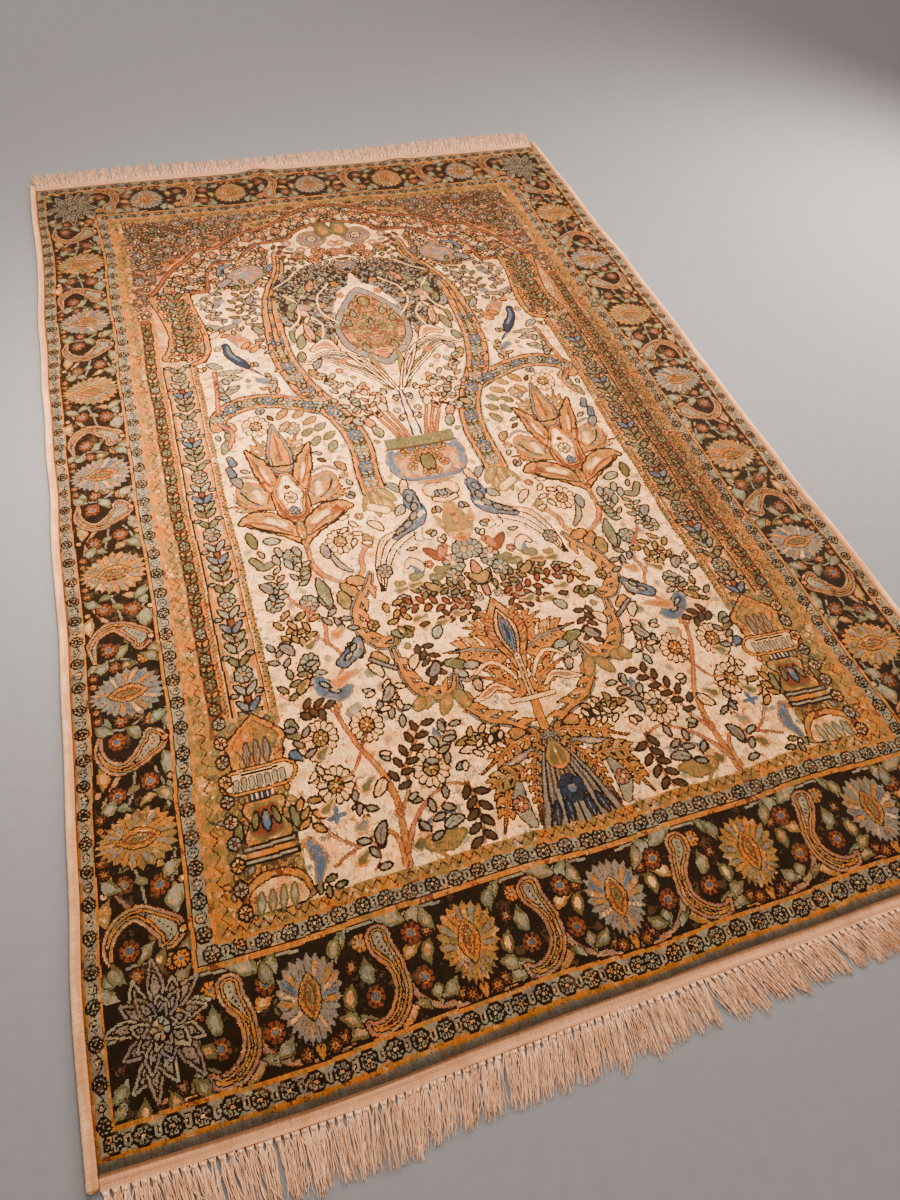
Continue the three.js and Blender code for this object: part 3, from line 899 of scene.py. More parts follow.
FEATHER = [(2.6, "ink"), (0, "ivory"), (-2.6, "ink"), (-5.2, "cream"), (-7.6, "ink"), (-10.2, "mauve"),
           (-12.6, "ink"), (-15, "ivory")]
for points, widths in (
    ((-4+92j, -28+136j, -58+176j, -96+206j, -144+196j), [6, 26, 42, 32, 4]),
    ((-10+100j, -36+160j, -62+206j), [4, 15, 4]),
):
    brush(points, widths, *FEATHER, teeth=0.12, pitch=6)
rosette(-78+186j, 8, "orange", "gold", "rust", 5)
outlined([-120+232j, -96+246j, -76+222j], [8, 24, 6], "cream")
brush([-118+236j, -96+244j, -82+228j], [3, 12, 3], (0, "rose"))
outlined([-140+250j, -134+290j, -110+330j], [4, 14, 4], "cream", "ink")
leaf(-140+240j, -132+282j, 15, "sage")
leaf(-112+256j, -122+316j, 13, "rose", "ink", "ink")
leaf(-146+204j, -140+232j, 14, "sage")
leaf(-138+178j, -124+146j, 14, "gold")
leaf(-128+384j, -140+352j, 15, "sage")
leaf(-120+372j, -104+354j, 13, "rose", "mauve")
for at, way in ((-120+136j, 0.4+1j), (-90+84j, 0.5+1j), (-46+74j, 0.8-0.8j), (-70+32j, 1+0.4j)):
    way = way / abs(way)
    brush([at, at + way * 20], 8, (0, "ink"), teeth=0.5, pitch=5)
for at, dye in ((-104+116j, "peach"), (-78+62j, "sage"), (-60+88j, "peach"), (-34+60j, "peach"),
                (-66+2j, "rose"), (-84+12j, "pale_sage"), (-58-22j, "sage"), (-36+40j, "cream")):
    leaf(at, at - 8 + 26j, 14, dye)
for at in (-48+64j, -64+108j, -84+48j):
    outlined([at, at + 6 + 10j], [10, 14, 6], "peach")

# The vase: an olive rim, a rosy body in a blue frame, and a scalloped foot.
block(-58, 0, -54, -30, "olive")
for streak in range(-58, 0, 5):
    block(streak, streak + 2, -52, -32, "sage")
block(-60, 0, -57, -53, "brown")
brush([-26-96j, 6-96j], 76, (1.5, "ink"), (0, "blue"), (-5, "rose"))
brush([-14-104j, 6-104j], 46, (0, "mauve"), (-3, "peach"))
outlined([-54-62j, -60-84j, -52-108j], [8, 10, 6], "blue", "mauve")
for at in (-30-66j, -10-66j, -26-100j, -8-116j, -18-84j):
    rosette(at, 8, "gold", "rust", "ink", 5, at.real)
leaf(-4-112j, -4-76j, 14, "olive")
block(-30, 0, -142, -136, "gold")
block(-28, 0, -136, -133, "mauve")
block(-20, 0, -156, -143, "rose")
brush([-14-160j, 4-164j], 30, (1.5, "ink"), (0, "peach"), (-5, "cream"))
outlined([-16-178j, 0-184j], 8, "cream")

# A peacock at each side of the vase's foot, its tail swept down and outwards.
outlined([-52-132j, -56-152j, -50-172j], [9, 13, 15], "peach")
outlined([-50-158j, -54-178j, -48-196j, -58-214j, -76-226j, -96-240j], [16, 21, 18, 22, 17, 8], "blue",
         "night")
for at, tip in ((-52-162j, -58-176j), (-50-180j, -56-194j), (-54-198j, -64-212j), (-66-214j, -80-226j),
                (-80-224j, -94-236j)):
    leaf(at, tip, 9, "mauve", "ink")
brush([-46-150j, -42-176j, -42-200j], 2, (0, "ink"))
brush([-44-200j, -50-206j], 7, (0, "cream"))
for shift in range(4):
    stem([complex(-64 - 9 * shift, -238 + 4 * shift), complex(-100 - 7 * shift, -264 + 8 * shift),
          complex(-122 - 6 * shift, -298 + 4 * shift), complex(-138 - 2 * shift, -334)], 2.6, "ink")
    stem([complex(-60 - 9 * shift, -240 + 4 * shift), complex(-97 - 7 * shift, -267 + 8 * shift),
          complex(-119 - 6 * shift, -300 + 4 * shift)], 1.4, "mauve")
for foot in (-66, -54):
    stem([complex(foot, -232), complex(foot - 4, -252), complex(foot + 8, -258)], 2, "ink")

# The flame flower at each side: pointed petals over a seeded egg, on spread leaves and a curled stalk.
FLAME_X = -227


def flame_pair(make, points, *rest, **notches):
    """The same shape or stroke at both sides of the flame flower's own middle."""
    for side in (-1, 1):
        make([complex(FLAME_X + side * point.real, point.imag) for point in points], *rest, **notches)


flame_pair(acanthus, (36-138j, 62-128j, 92-122j), 13, 4, "gold")
flame_pair(brush, (30-126j, 52-108j, 62-90j), [36, 52, 30], (1.8, "rust"), (0, "orange"), (-6, "gold"),
           teeth=0.2, pitch=15)
flame_pair(brush, (44-118j, 48-100j), [10, 6], (2.6, "peach"), (0, "cream"))
flame_pair(brush, (28-86j, 44-71j, 64-64j, 82-76j), [3, 4, 4, 3], (1.1, "ink"), (0, "mauve"))
flame_pair(brush, (70-84j, 66-106j, 50-130j), [3, 4, 3], (0, "blue"))
flame_pair(brush, (82-92j, 78-108j, 66-124j), [2.4], (0, "rust"))
flame_pair(brush, (58-76j, 50-88j, 40-96j), [2.4], (0, "blue"))
brush([FLAME_X - 150j, FLAME_X - 100j, FLAME_X - 44j], [50, 54, 36], (2.4, "ink"), (0, "orange"),
      (-3, "rust"))
flame_pair(acanthus, (15-40j, 24-12j, 34+22j), 15, 3, "gold")
flame_pair(brush, (22-96j, 32-52j, 50-6j), [21, 29, 2], (3.4, "ink"), (0, "orange"), (-8, "gold"),
           teeth=0.26, pitch=19)
flame_pair(brush, (20-84j, 34-56j, 42-30j), [2], (0, "ink"))
flame_pair(brush, (27-80j, 33-50j), [5, 2], (2, "peach"), (0, "cream"))
flame_pair(brush, (25-92j, 38-56j, 47-20j), [4, 2], (0, "rust"))
brush([FLAME_X - 50j, FLAME_X - 22j, FLAME_X + 12j, FLAME_X + 50j], [34, 38, 24, 2], (2.2, "ink"),
      (0, "mauve"), (-3, "ink"), (-4.4, "orange"), (-10, "gold"))
brush([FLAME_X - 38j, FLAME_X - 8j, FLAME_X + 28j], [6, 4, 2], (0, "rust"))
flame_pair(brush, (1-50j, 12-50j, 24-44j), [4], (0, "ink"))
flame_pair(brush, (0-216j, 22-184j, 48-164j, 70-156j, 84-160j), [9, 31, 40, 24, 3], (3.2, "ink"),
           (0, "orange"), (-6, "gold"), (-10, "orange"), teeth=0.26, pitch=21)
flame_pair(brush, (22-176j, 44-164j), [10, 6], (2.6, "peach"), (0, "cream"))
flame_pair(brush, (14-196j, 34-178j, 60-164j, 78-160j), [3, 2], (0, "rust"))
flame_pair(brush, (26-172j, 44-152j, 56-150j), [2.2], (0, "gold"))
flame_pair(brush, (38-86j, 30-108j, 36-128j), [5, 3], (0, "rust"))
flame_pair(brush, (70-96j, 60-116j, 44-130j), [3.4, 2], (0, "ink"))
flame_pair(brush, (8-204j, 34-190j, 56-180j, 76-162j), [2, 4, 6, 2], (0, "ink"))
flame_pair(brush, (24-146j, 46-141j, 66-144j), [2, 4, 2], (0, "ink"))
flame_pair(brush, (2-210j, 8-188j, 22-170j), [1.6], (0, "brown"))
flame_pair(brush, (20-192j, 40-176j, 62-166j), [1.8], (0, "rust"))
flame_pair(brush, (34-157j, 46-154j), [2.4], (0, "rust"))
brush([FLAME_X - 148j, FLAME_X - 112j, FLAME_X - 76j], [26, 42, 14], (4.2, "ink"), (2.8, "orange"),
      (0, "ink"), (-1.4, "peach"), (-4.5, "ivory"))
for turn in range(12):
    spot = FLAME_X - 112j + 15.5 * math.cos(turn * 0.52) + 29j * math.sin(turn * 0.52)
    brush(spot, 2.6, (0, "brown"))
blossom(FLAME_X - 122j, 9, 7, "cream", "sage")
outlined(FLAME_X - 98j, 5, "rust")
rosette(FLAME_X - 151j, 8, "blue", "mauve", "ink", 5)
leaf(FLAME_X - 212j, FLAME_X - 172j, 11, "gold", "brown", "brown")
brush([FLAME_X - 222j, FLAME_X + 1 - 262j, FLAME_X + 16 - 290j, FLAME_X + 44 - 306j, FLAME_X + 66 - 292j,
       FLAME_X + 72 - 262j, FLAME_X + 96 - 232j], [6.5], (1.2, "brown"), (0, "rose"), (-1.6, "orange"))
brush([FLAME_X - 226j, FLAME_X - 4 - 262j, FLAME_X + 10 - 294j], [2.4], (0, "rust"))

# The ends of the tall bands: a gold knot of leaves.
for at, tip in ((-100-138j, -128-176j), (-100-138j, -84-190j), (-104-140j, -108-194j),
                (-96-138j, -76-168j)):
    leaf(at, tip, 16, "gold", "olive", "cream")
outlined([-116-172j, -96-184j], 13, "cream", "olive")

# Round cream flowers, each with a ring of black-lined petals.
for at, radius, count in (
    (-276-537j, 21, 14), (-217-534j, 20, 14), (-269-603j, 21, 14), (-155-613j, 22, 14), (-178-226j, 20, 12),
    (-252+50j, 21, 12), (-196+34j, 12, 8), (-292-318j, 12, 8), (-246-330j, 12, 8), (-252-240j, 12, 8),
    (-44-356j, 14, 9), (-40-378j, 13, 9), (-28-310j, 15, 8), (-6-286j, 16, 9), (-36-334j, 12, 8),
    (-268-425j, 12, 8), (-206-420j, 12, 8), (-130-300j, 10, 7), (-84-350j, 10, 7), (-118-360j, 10, 7),
):
    big = radius > 18
    blossom(at, radius, count, "cream" if big else "pale_sage", "cream" if big else "peach")
    if big:
        blossom(at, radius * 0.42, 7, "gold", "cream")

# The small arch's own garden: leaves and sprigs about the flame flower.
for at, tip in ((-214+62j, -196+86j), (-188+60j, -170+78j), (-176+40j, -154+54j), (-160+20j, -142+34j),
                (-150-4j, -132+10j), (-146-34j, -134-12j), (-214+30j, -200+52j), (-182+12j, -166+26j),
                (-170-14j, -158+4j), (-292+20j, -300+44j), (-286+46j, -296+70j), (-310-4j, -302+26j)):
    leaf(at, tip, 12, "gold" if at.imag > 25 else "sage", "brown")
for at in (-304-16j, -308-40j, -300+64j):
    outlined([at, at + 4 - 14j], [7, 10], "blue")
outlined([-300+10j, -290+40j, -308+70j], 4, "rose", "rust")
for at, tip in ((-304-180j, -300-212j), (-286-202j, -262-206j), (-236-258j, -244-296j),
                (-230-318j, -216-348j)):
    leaf(at, tip, 13, "olive" if at.real < -300 else "sage")
leaf(-226-288j, -218-344j, 16, "sage", "ink", "pale_sage")
outlined([-196-250j, -188-272j, -176-286j], [5, 8, 3], "pale_sage")
leaf(-204-226j, -202-254j, 12, "mauve")
leaf(-140-222j, -138-248j, 12, "gold", "olive")
for at, tip in ((-196-306j, -176-334j), (-200-320j, -196-350j), (-186-300j, -160-312j)):
    leaf(at, tip, 17, "gold", "ink", "orange")

# The stalks and leaves between the vase and the great palmette.
brush([0-196j, -2-240j, 0-262j], [22, 46, 20], (0, "gold"), (-8, "orange"))
for points in ((-4-262j, -22-232j, -30-206j), (-6-258j, -10-226j, -8-200j)):
    brush(points, [9, 16, 2], (0, "gold"))
leaf(-40-300j, -62-272j, 14, "rust", "brown")
leaf(-44-296j, -30-268j, 12, "rose", "rust")
outlined([-96-300j, -88-292j, -78-304j, -84-318j], [5, 12, 14, 7], "cream", "night")
brush([-86-304j, -80-316j], [6, 8], (0, "blue"))
for at in (-64-330j, -92-322j, -52-318j):
    brush([at, at + 12 + 3j], [18, 10], (0, "olive"), (-4, "sage"))
sprig([-6-372j, -36-356j, -66-348j, -96-352j], 11, 12, "olive", "rose", 3.4)
sprig([-10-380j, -50-382j, -86-372j, -124-366j], 12, 12, "rust", "rose", 3.4)
sprig([-14-400j, -46-402j, -78-396j], 8, 10, "brown", "rose", 3)
outlined([0-372j, -1-330j, 0-312j], [6, 12, 4], "rose")
leaf(-2-356j, -18-330j, 12, "sage")
outlined([0-346j, -10-338j], [16, 10], "gold")
for at in (-56-398j, -84-408j, -112-392j, -120-340j, -100-336j):
    brush([at, at + 14 + 2j], [14, 8], (0, "peach"), (-3, "olive"))

# The great palmette under them: a spear with spread acanthus leaves on a ringed stalk.
for spine, width, lobes in (
    ((-10-512j, -32-494j, -60-482j), 14, 3), ((-12-450j, -28-434j, -56-424j), 16, 3),
    ((-8-542j, -26-520j, -58-506j), 18, 3), ((-10-482j, -46-464j, -96-458j), 22, 4),
):
    acanthus(spine, width, lobes)
brush([-20-474j, -48-463j, -82-460j], [3, 4, 2], (1.2, "ink"), (0, "mauve"))
brush([-64-502j, -50-490j, -36-488j, -22-500j, -12-518j], [3, 5, 5, 5, 3], (1.4, "ink"), (0, "cream"))
shape([0-378j, -10-396j, -22-416j, -29-438j, -24-460j, -14-482j, -6-506j, 8-506j, 8-378j], "orange")
for level in (-404, -420, -436, -452):
    leaf(complex(-15, level - 12), complex(-25 - (level + 452) * 0.04, level), 5, "gold", "rust")
shape([0-398j, -8-414j, -15-434j, -14-454j, -7-476j, 0-494j, 8-494j, 8-398j], "peach")
shape([0-408j, -7-428j, -9-446j, -5-468j, 0-480j, 8-480j, 8-408j], "mauve")
brush([0-420j, -1-445j, 0-472j], [2, 9, 2], (1.2, "ink"), (0, "blue"), (-2.2, "night"))
brush([0-484j, 0-545j], [9, 8], (1.4, "ink"), (0, "peach"))
stem([-1-484j, -1-545j], 1.2, "brown")
brush([0-552j, 0-604j], [10, 9], (1.4, "ink"), (0, "orange"))
scroll([-90-504j, -88-540j, -68-566j, -38-580j, -4-606j], [3, 7, 11, 10, 6])
brush([-86-502j, -76-507j, -66-504j, -59-512j], [3, 4, 4, 3], (1.3, "ink"), (0, "mauve"))
outlined([-65-514j, -64-521j], [10, 7], "peach")
brush([-74-539j, -56-531j, -40-524j, -22-535j], [3, 11, 9, 3], (1.6, "ink"), (0, "cream"), (-2.4, "rose"))
acanthus([-6-600j, -44-610j, -98-640j], 14, 5)
brush([-26-622j, -50-632j, -76-640j], [5, 9, 3], (1.5, "ink"), (0, "mauve"), (-2.6, "peach"))
brush([-28-549j, 6-549j], [7], (1.5, "ink"), (0, "cream"))
shape([-48-592j, -38-587j, -24-595j, -32-602j, -44-604j], "gold")
for base, tip, wide, dye in ((-76-588j, -116-592j, 13, "gold"), (-74-602j, -114-604j, 13, "cream"),
                             (-70-482j, -98-474j, 15, "sage"), (-74-484j, -54-486j, 12, "pale_sage"),
                             (-88-488j, -74-500j, 10, "pale_sage"), (-60-594j, -80-596j, 6, "mauve")):
    leaf(base, tip, wide, dye)

# The foot of the stalk: a dark-lined fan with one blue flower, between two leafy scrolls.
fill([6-600j, -10-606j, -28-640j, -42-680j, -48-722j, 6-722j], "taupe")
for number, spread in enumerate(range(0, 54, 5)):
    brush([complex(-2 - spread * 0.08, -604), complex(-spread * 0.55, -656), complex(-spread, -722)],
          [2, 3, 3.4], (0, ("ink", "taupe", "brown", "mauve")[number % 4]))
brush([0-614j, -6-640j, 0-652j], [6, 18, 8], (1.6, "ink"), (0, "gold"), (-4, "olive"))
rosette(0-682j, 16, "night", "blue", "ink", 8)
for spot in (-14, -32):
    leaf(complex(spot, -720), complex(spot * 0.8, -694), 8, "night", "ink", "mauve")
for points, width, lobes, dye in (
    ((-54-640j, -74-668j, -96-716j), 14, 5, "orange"), ((-44-648j, -70-652j, -104-664j), 14, 4, "gold"),
    ((-12-612j, -36-650j, -50-716j), 9, 6, "orange"),
):
    acanthus(points, width, lobes, dye)
brush([-60-664j, -66-690j, -60-714j], [8, 20, 10], (1.6, "ink"), (0, "pale_sage"))
rosette(-66-688j, 9, "rose", "cream", "ink")

# The outer scrolls that carry the palmette's branches.
for points, widths in (
    ((-152-300j, -162-322j, -180-342j, -191-370j, -189-396j, -175-419j, -154-424j, -147-410j),
     [4, 9, 11, 13, 13, 12, 8, 4]),
    ((-158-432j, -155-458j, -151-486j, -138-510j, -118-520j, -99-513j, -91-496j),
     [4, 8, 11, 13, 12, 8, 4]),
):
    scroll(points, widths)
blossom(-172-386j, 7, 6, "gold", "rust")
outlined([-182-436j, -172-446j], [12, 8], "gold")
outlined([-190-440j, -176-452j, -162-462j], 4, "mauve")
for at, tip in ((-126-520j, -148-528j), (-104-520j, -120-546j), (-96-516j, -84-544j),
                (-150-530j, -140-516j)):
    leaf(at, tip, 14, "gold", "olive")
for at, tip in ((-140-404j, -120-408j), (-150-404j, -132-416j), (-128-420j, -138-400j)):
    leaf(at, tip, 12, "sage")

# Flowering trees: forked rose-brown trunks at the foot of the field, with birds, fruit and leaves.
TRUNK = (-212-718j, -208-680j, -206-640j, -214-600j, -232-560j, -246-524j, -252-490j)
for points, width in (
    (TRUNK, [9, 8, 7, 6, 5]),
    ((-216-718j, -216-690j, -226-676j, -262-684j, -292-696j), [6, 5, 4, 3]),
    ((-262-684j, -284-664j, -298-640j), [4, 3]),
    ((-206-660j, -188-630j, -184-604j, -168-578j, -150-560j), [5, 4, 3]),
    ((-210-704j, -192-672j, -168-650j, -140-640j, -122-646j), [6, 4, 3]),
    ((-230-566j, -244-590j, -262-598j), [4, 3]),
    ((-228-560j, -222-546j), [3]),
    ((-248-512j, -262-498j, -280-492j), [3]),
    ((-118-646j, -116-670j, -118-700j, -122-718j), [4]),
    ((-246-500j, -236-460j, -224-430j, -240-396j, -262-376j, -280-372j), [6, 4, 4, 3]),
    ((-238-400j, -236-360j, -262-330j, -276-300j, -280-262j), [6, 5, 4, 3]),
    ((-262-330j, -250-344j, -262-372j), [4, 3]),
):
    brush(points, np.asarray(width) + 1.5, (0, "rust"), (-1.2, "rose"), (-2.6, "orange"), teeth=0.15,
          pitch=7)
for points, count, size, dye in (
    ((-206-640j, -190-606j, -176-586j, -158-560j, -150-548j), 11, 13, "brown"),
    ((-300-496j, -280-494j, -262-500j), 6, 13, "brown"),
    ((-122-640j, -114-664j, -118-694j, -122-716j), 9, 14, "brown"),
    ((-128-428j, -116-448j, -114-470j, -112-492j), 9, 12, "brown"),
    ((-300-330j, -282-300j, -284-262j), 9, 12, "pale_sage"),
    ((-256-300j, -246-270j, -240-250j), 6, 12, "pale_sage"),
    ((-300-372j, -276-376j, -256-390j), 7, 13, "gold"),
    ((-306-346j, -276-352j, -250-362j), 6, 14, "gold"),
    ((-240-356j, -216-362j, -206-384j), 6, 13, "mauve"),
    ((-286-420j, -268-436j, -262-460j), 6, 12, "pale_sage"),
    ((-198-500j, -182-514j, -168-532j), 5, 14, "pale_sage"),
    ((-262-640j, -248-632j, -240-652j), 5, 12, "mauve"),
    ((-312-600j, -304-620j, -306-644j), 6, 14, "gold"),
    ((-110-590j, -84-586j, -60-592j), 7, 12, "gold"),
    ((-104-606j, -80-604j, -58-600j), 6, 11, "cream"),
    ((-140-590j, -128-574j, -116-560j), 5, 12, "pale_sage"),
    ((-314-704j, -304-712j, -296-720j), 4, 11, "sage"),
    ((-276-566j, -288-572j, -284-590j), 4, 12, "cream"),
    ((-300-430j, -308-400j, -300-384j), 5, 12, "taupe"),
):
    sprig(points, count, size, dye, "rust" if dye == "brown" else "olive", 1.8)
for at, dye in ((-196-700j, "olive"), (-262-700j, "olive"), (-254-664j, "pale_sage"), (-184-688j, "peach"),
                (-280-560j, "sage"), (-236-616j, "olive"), (-288-630j, "sage"), (-196-460j, "sage"),
                (-186-486j, "pale_sage"), (-262-400j, "olive"), (-224-390j, "orange"),
                (-232-512j, "pale_sage")):
    brush([at, at + 10 + 8j], [16, 9], (0, "peach"), (-3, dye))
outlined([-180-702j, -160-704j, -142-700j], [16, 22, 6], "gold", "olive")
brush([-178-712j, -168-722j], 5, (0, "gold"))
brush([-176-676j, -160-670j, -146-676j, -158-682j], 6, (0, "blue"))
outlined(-184-680j, 9, "gold")
brush([-278-648j, -276-632j], 6, (0, "blue"))
brush([-286-642j, -268-642j], 5, (0, "blue"))
brush([-136-578j, -136-562j], [14, 4], (0, "blue"), (-4, "rose"))
outlined([-314-660j, -306-680j, -312-704j], [9, 14, 5], "blue", "gold")
outlined([-226-436j, -206-420j, -198-404j], [16, 20, 8], "blue")
brush([-210-426j, -202-414j], 8, (0, "pale_sage"))
outlined([-262-456j, -258-470j, -240-480j, -226-476j], [10, 20, 22, 5], "blue", "mauve")
brush([-256-470j, -240-466j], 8, (0, "mauve"))
for at, tip in ((-262-460j, -252-470j), (-252-474j, -240-478j), (-222-432j, -212-424j),
                (-212-420j, -204-410j)):
    leaf(at, tip, 5, "pale_sage", "ink")
brush([-240-466j, -222-456j, -204-452j], [18, 14, 3], (0, "peach"), (-3, "rose"))
for level in (-520, -548, -506):
    outlined([-310 + level * 1j, -302 + (level - 8) * 1j], [10, 4], "blue" if level == -548 else "sage")
outlined([-308-232j, -296-250j, -284-246j], 9, "sage")
for at in (-278-232j, -262-244j, -272-218j, -246-222j):
    leaf(at, at + 6 - 18j, 9, "pale_sage")

# More sprigs and veined leaves in the wider gaps.
for points, count, size, dye in (
    ((-120+52j, -104+104j, -114+160j), 8, 13, "pale_sage"),
    ((-80+8j, -92+60j, -74+118j), 8, 13, "pale_sage"),
    ((-52+14j, -60+60j, -50+104j), 6, 12, "rose"),
    ((-182-706j, -170-672j, -146-656j), 6, 13, "taupe"),
    ((-132-622j, -142-598j, -122-568j), 6, 14, "pale_sage"),
    ((-152-348j, -130-370j, -142-400j), 6, 13, "gold"),
    ((-306-480j, -300-452j, -286-436j), 5, 13, "sage"),
    ((-300-560j, -296-540j, -302-516j), 4, 13, "mauve"),
    ((-176-470j, -170-500j, -182-520j), 5, 12, "cream"),
    ((-250-716j, -240-700j, -246-680j), 4, 13, "pale_sage"),
    ((-132+96j, -160+130j, -166+150j), 4, 12, "gold"),
    ((-150-170j, -160-206j, -148-240j), 6, 13, "cream"),
    ((-306+130j, -286+150j, -270+180j), 5, 14, "pale_sage"),
    ((-200+120j, -214+150j, -196+190j), 5, 12, "gold"),
    ((-66+556j, -84+520j, -104+500j), 6, 11, "sage"),
    ((-128+600j, -110+560j, -104+520j), 7, 12, "brown"),
    ((-276+440j, -284+400j, -276+360j), 6, 12, "taupe"),
    ((-200+436j, -194+400j, -204+366j), 6, 12, "mauve"),
    ((-244+300j, -262+310j, -290+322j), 5, 12, "gold"),
    ((-206+236j, -198+270j, -208+296j), 5, 11, "taupe"),
    ((-24+560j, -34+530j, -58+512j), 5, 11, "rose"),
):
    sprig(points, count, size, dye, "rose", 2.4)
for number, (at, tip) in enumerate((
    (-196-448j, -182-470j), (-176-484j, -190-506j), (-290-470j, -274-452j), (-236-690j, -226-664j),
    (-300-388j, -286-408j), (-140-470j, -128-450j), (-96-432j, -84-414j), (-60-352j, -80-336j),
    (-108-470j, -122-488j), (-306-280j, -292-300j), (-214-610j, -228-630j), (-160-690j, -136-684j),
    (-146-60j, -134-82j), (-308-60j, -296-84j), (-80-130j, -66-152j), (-130-200j, -112-222j),
    (-70-180j, -84-196j), (-110+20j, -94+36j), (-126+176j, -112+200j), (-208+398j, -196+420j),
    (-290+300j, -274+318j), (-196+300j, -210+324j),
)):
    leaf(at, tip, 12, ("cream", "pale_sage", "gold", "mauve", "taupe")[number % 5], "ink", "brown", 0.12)

# Uneven dye lots: cloudy patches over the larger plain grounds.
for over, dye, share, size in (
    ("ivory", "cream", 0.34, 16), ("ivory", "peach", 0.08, 10), ("ivory", "pale_sage", 0.05, 12),
    ("ivory", "rose", 0.02, 12), ("gold", "orange", 0.26, 18), ("gold", "peach", 0.14, 14),
    ("gold", "olive", 0.10, 9), ("peach", "cream", 0.20, 16), ("peach", "orange", 0.16, 14),
    ("peach", "taupe", 0.12, 16), ("rose", "orange", 0.22, 18), ("rose", "peach", 0.22, 14),
    ("rose", "brown", 0.08, 12), ("pale_sage", "taupe", 0.28, 16), ("pale_sage", "peach", 0.08, 12),
    ("orange", "gold", 0.14, 12), ("orange", "rust", 0.08, 10), ("orange", "peach", 0.07, 9),
    ("mauve", "taupe", 0.28, 16), ("mauve", "sage", 0.20, 12), ("sage", "olive", 0.25, 12),
    ("sage", "pale_sage", 0.22, 12), ("blue", "mauve", 0.22, 9), ("ink", "brown", 0.08, 10),
):
    wash(over, dye, share, size)

# Fine sprigs in what ivory ground is still bare, so that no part of the field is plain.
GARDEN = (-318-716j, -318+230j, -300+270j, -300+440j, -262+460j, -240+540j, -150+590j, 0+600j, 0-716j)
garden = np.asarray(GARDEN, complex)
quiet = {DYE[name] for name in ("ivory", "cream", "peach", "pale_sage", "rose")}
for row in range(-712, 600, 11):
    for column in range(-316, 2, 10):
        at = complex(column + random.uniform(-4, 4), row + random.uniform(-4, 4))
        if at.real > -3 or not inside(garden, np.array([at.real]), np.array([at.imag]))[0]:
            continue
        if abs(at.real - FLAME_X) < 84 and -225 < at.imag < -60:
            continue
        c = int((at.real - CHART_LEFT) / KNOT_X)
        r = int((at.imag - CHART_BOTTOM) / KNOT_Y)
        around = chart[max(r - 4, 0):r + 5, max(c - 4, 0):c + 5]
        if not np.isin(around, list(quiet)).all():
            continue
        way = np.exp(1j * random.uniform(0, 2 * math.pi))
        kind = random.integers(8)
        if kind < 3:
            stem([at - way * 9, at - way * 5], 1.4, "rose")
            leaf(at - way * 6, at + way * 8, 7, ("sage", "taupe", "gold", "pale_sage")[random.integers(4)])
            leaf(at - way * 6, at + way * (2+8j), 6, ("pale_sage", "mauve", "cream")[random.integers(3)])
        elif kind < 5:
            leaf(at - way * 6, at + way * 7, 5.5, ("brown", "taupe", "pale_sage")[random.integers(3)])
        elif kind < 6:
            rosette(at, 6.5, ("rose", "peach", "pale_sage")[random.integers(3)], "cream", "ink", 5, at.real)
        elif kind < 7:
            stem([at - way * 8, at + way * 2j, at + way * 8], 1.5, "rose")
            leaf(at, at + way * 7j, 5, "gold", "olive")
        else:
            brush([at, at + way * 7], [10, 4], (0, "peach"), (-2, "pale_sage"))

# The pile: silk knots tied row by row on fine warps and clipped short. It is one limp sheet on the
# outline the rug has as it lies, with two low folds at its far end. Each quad of its mesh holds
# 4 by 8 knots of the chart, packed as numbers that its material reads back.
PILE_THICKNESS = 5.0
PILE_FOOT = 1.8
CORD_WIDTH = 11.5
PIECE_GAP = 0.3
QUADS_ACROSS = 216
QUADS_ALONG = 152
KNOTS_PER_QUAD = (4, 8)
DYE_COUNT = float(len(DYES))
HIDDEN_SIDE = 0.02

# Rows of (y, left x, right x), then rows of (x, near y, far y): where the rug's edges run.
LONG_EDGES = (
    (-930, -571, 574), (-840, -574.5, 576), (-750, -576.8, 577.5), (-660, -574.2, 576),
    (-570, -573.9, 575), (-480, -572.3, 576.5), (-390, -572.3, 576.8), (-300, -571, 573.2),
    (-210, -573.4, 575.2), (-120, -575.3, 575), (-30, -573.5, 577.4), (60, -576.6, 578.2),
    (150, -576.5, 581.5), (240, -578.8, 582), (330, -577.8, 582.2), (420, -580, 585.2),
    (510, -577.6, 581.4), (600, -576.5, 581.5), (690, -578.6, 584.4), (780, -582.5, 583.2),
    (870, -583.9, 583.4), (960, -584, 582),
)
END_EDGES = (
    (-600, -911, 900), (-500, -915, 902), (-400, -918, 905), (-300, -919, 904), (-200, -916, 903),
    (-100, -914, 904), (0, -914, 904), (100, -912.5, 901), (200, -913, 901), (300, -911.5, 904),
    (400, -912, 905), (500, -913, 906), (600, -912, 907),
)
LEFT, RIGHT = 1, 2
NEAR, FAR = 1, 2
# Each fold is (x of its crest, height, half its width, reach from the far end).
FOLDS = ((-102, 6, 48, 190), (222, 3.5, 44, 130))


def read_table(rows, column, place):
    """A table's column at places between its evenly spaced rows, on a smooth curve."""
    values = np.array([row[column] for row in rows], float)
    last = len(rows) - 1
    step = np.clip((np.asarray(place, float) - rows[0][0]) / (rows[1][0] - rows[0][0]), 0, last - 1e-6)
    i = step.astype(int)
    t = step - i
    a, b, c, d = (values[np.clip(i + k, 0, last)] for k in (-1, 0, 1, 2))
    return b + t / 2 * (c - a + t * (2 * a - 5 * b + 4 * c - d + t * (3 * b - 3 * c + d - a)))


def inner_edge(side, y):
    """Where the pile stops beside a long edge's cord."""
    inward = 1 if side == LEFT else -1
    return read_table(LONG_EDGES, side, y) + inward * (CORD_WIDTH + PIECE_GAP)


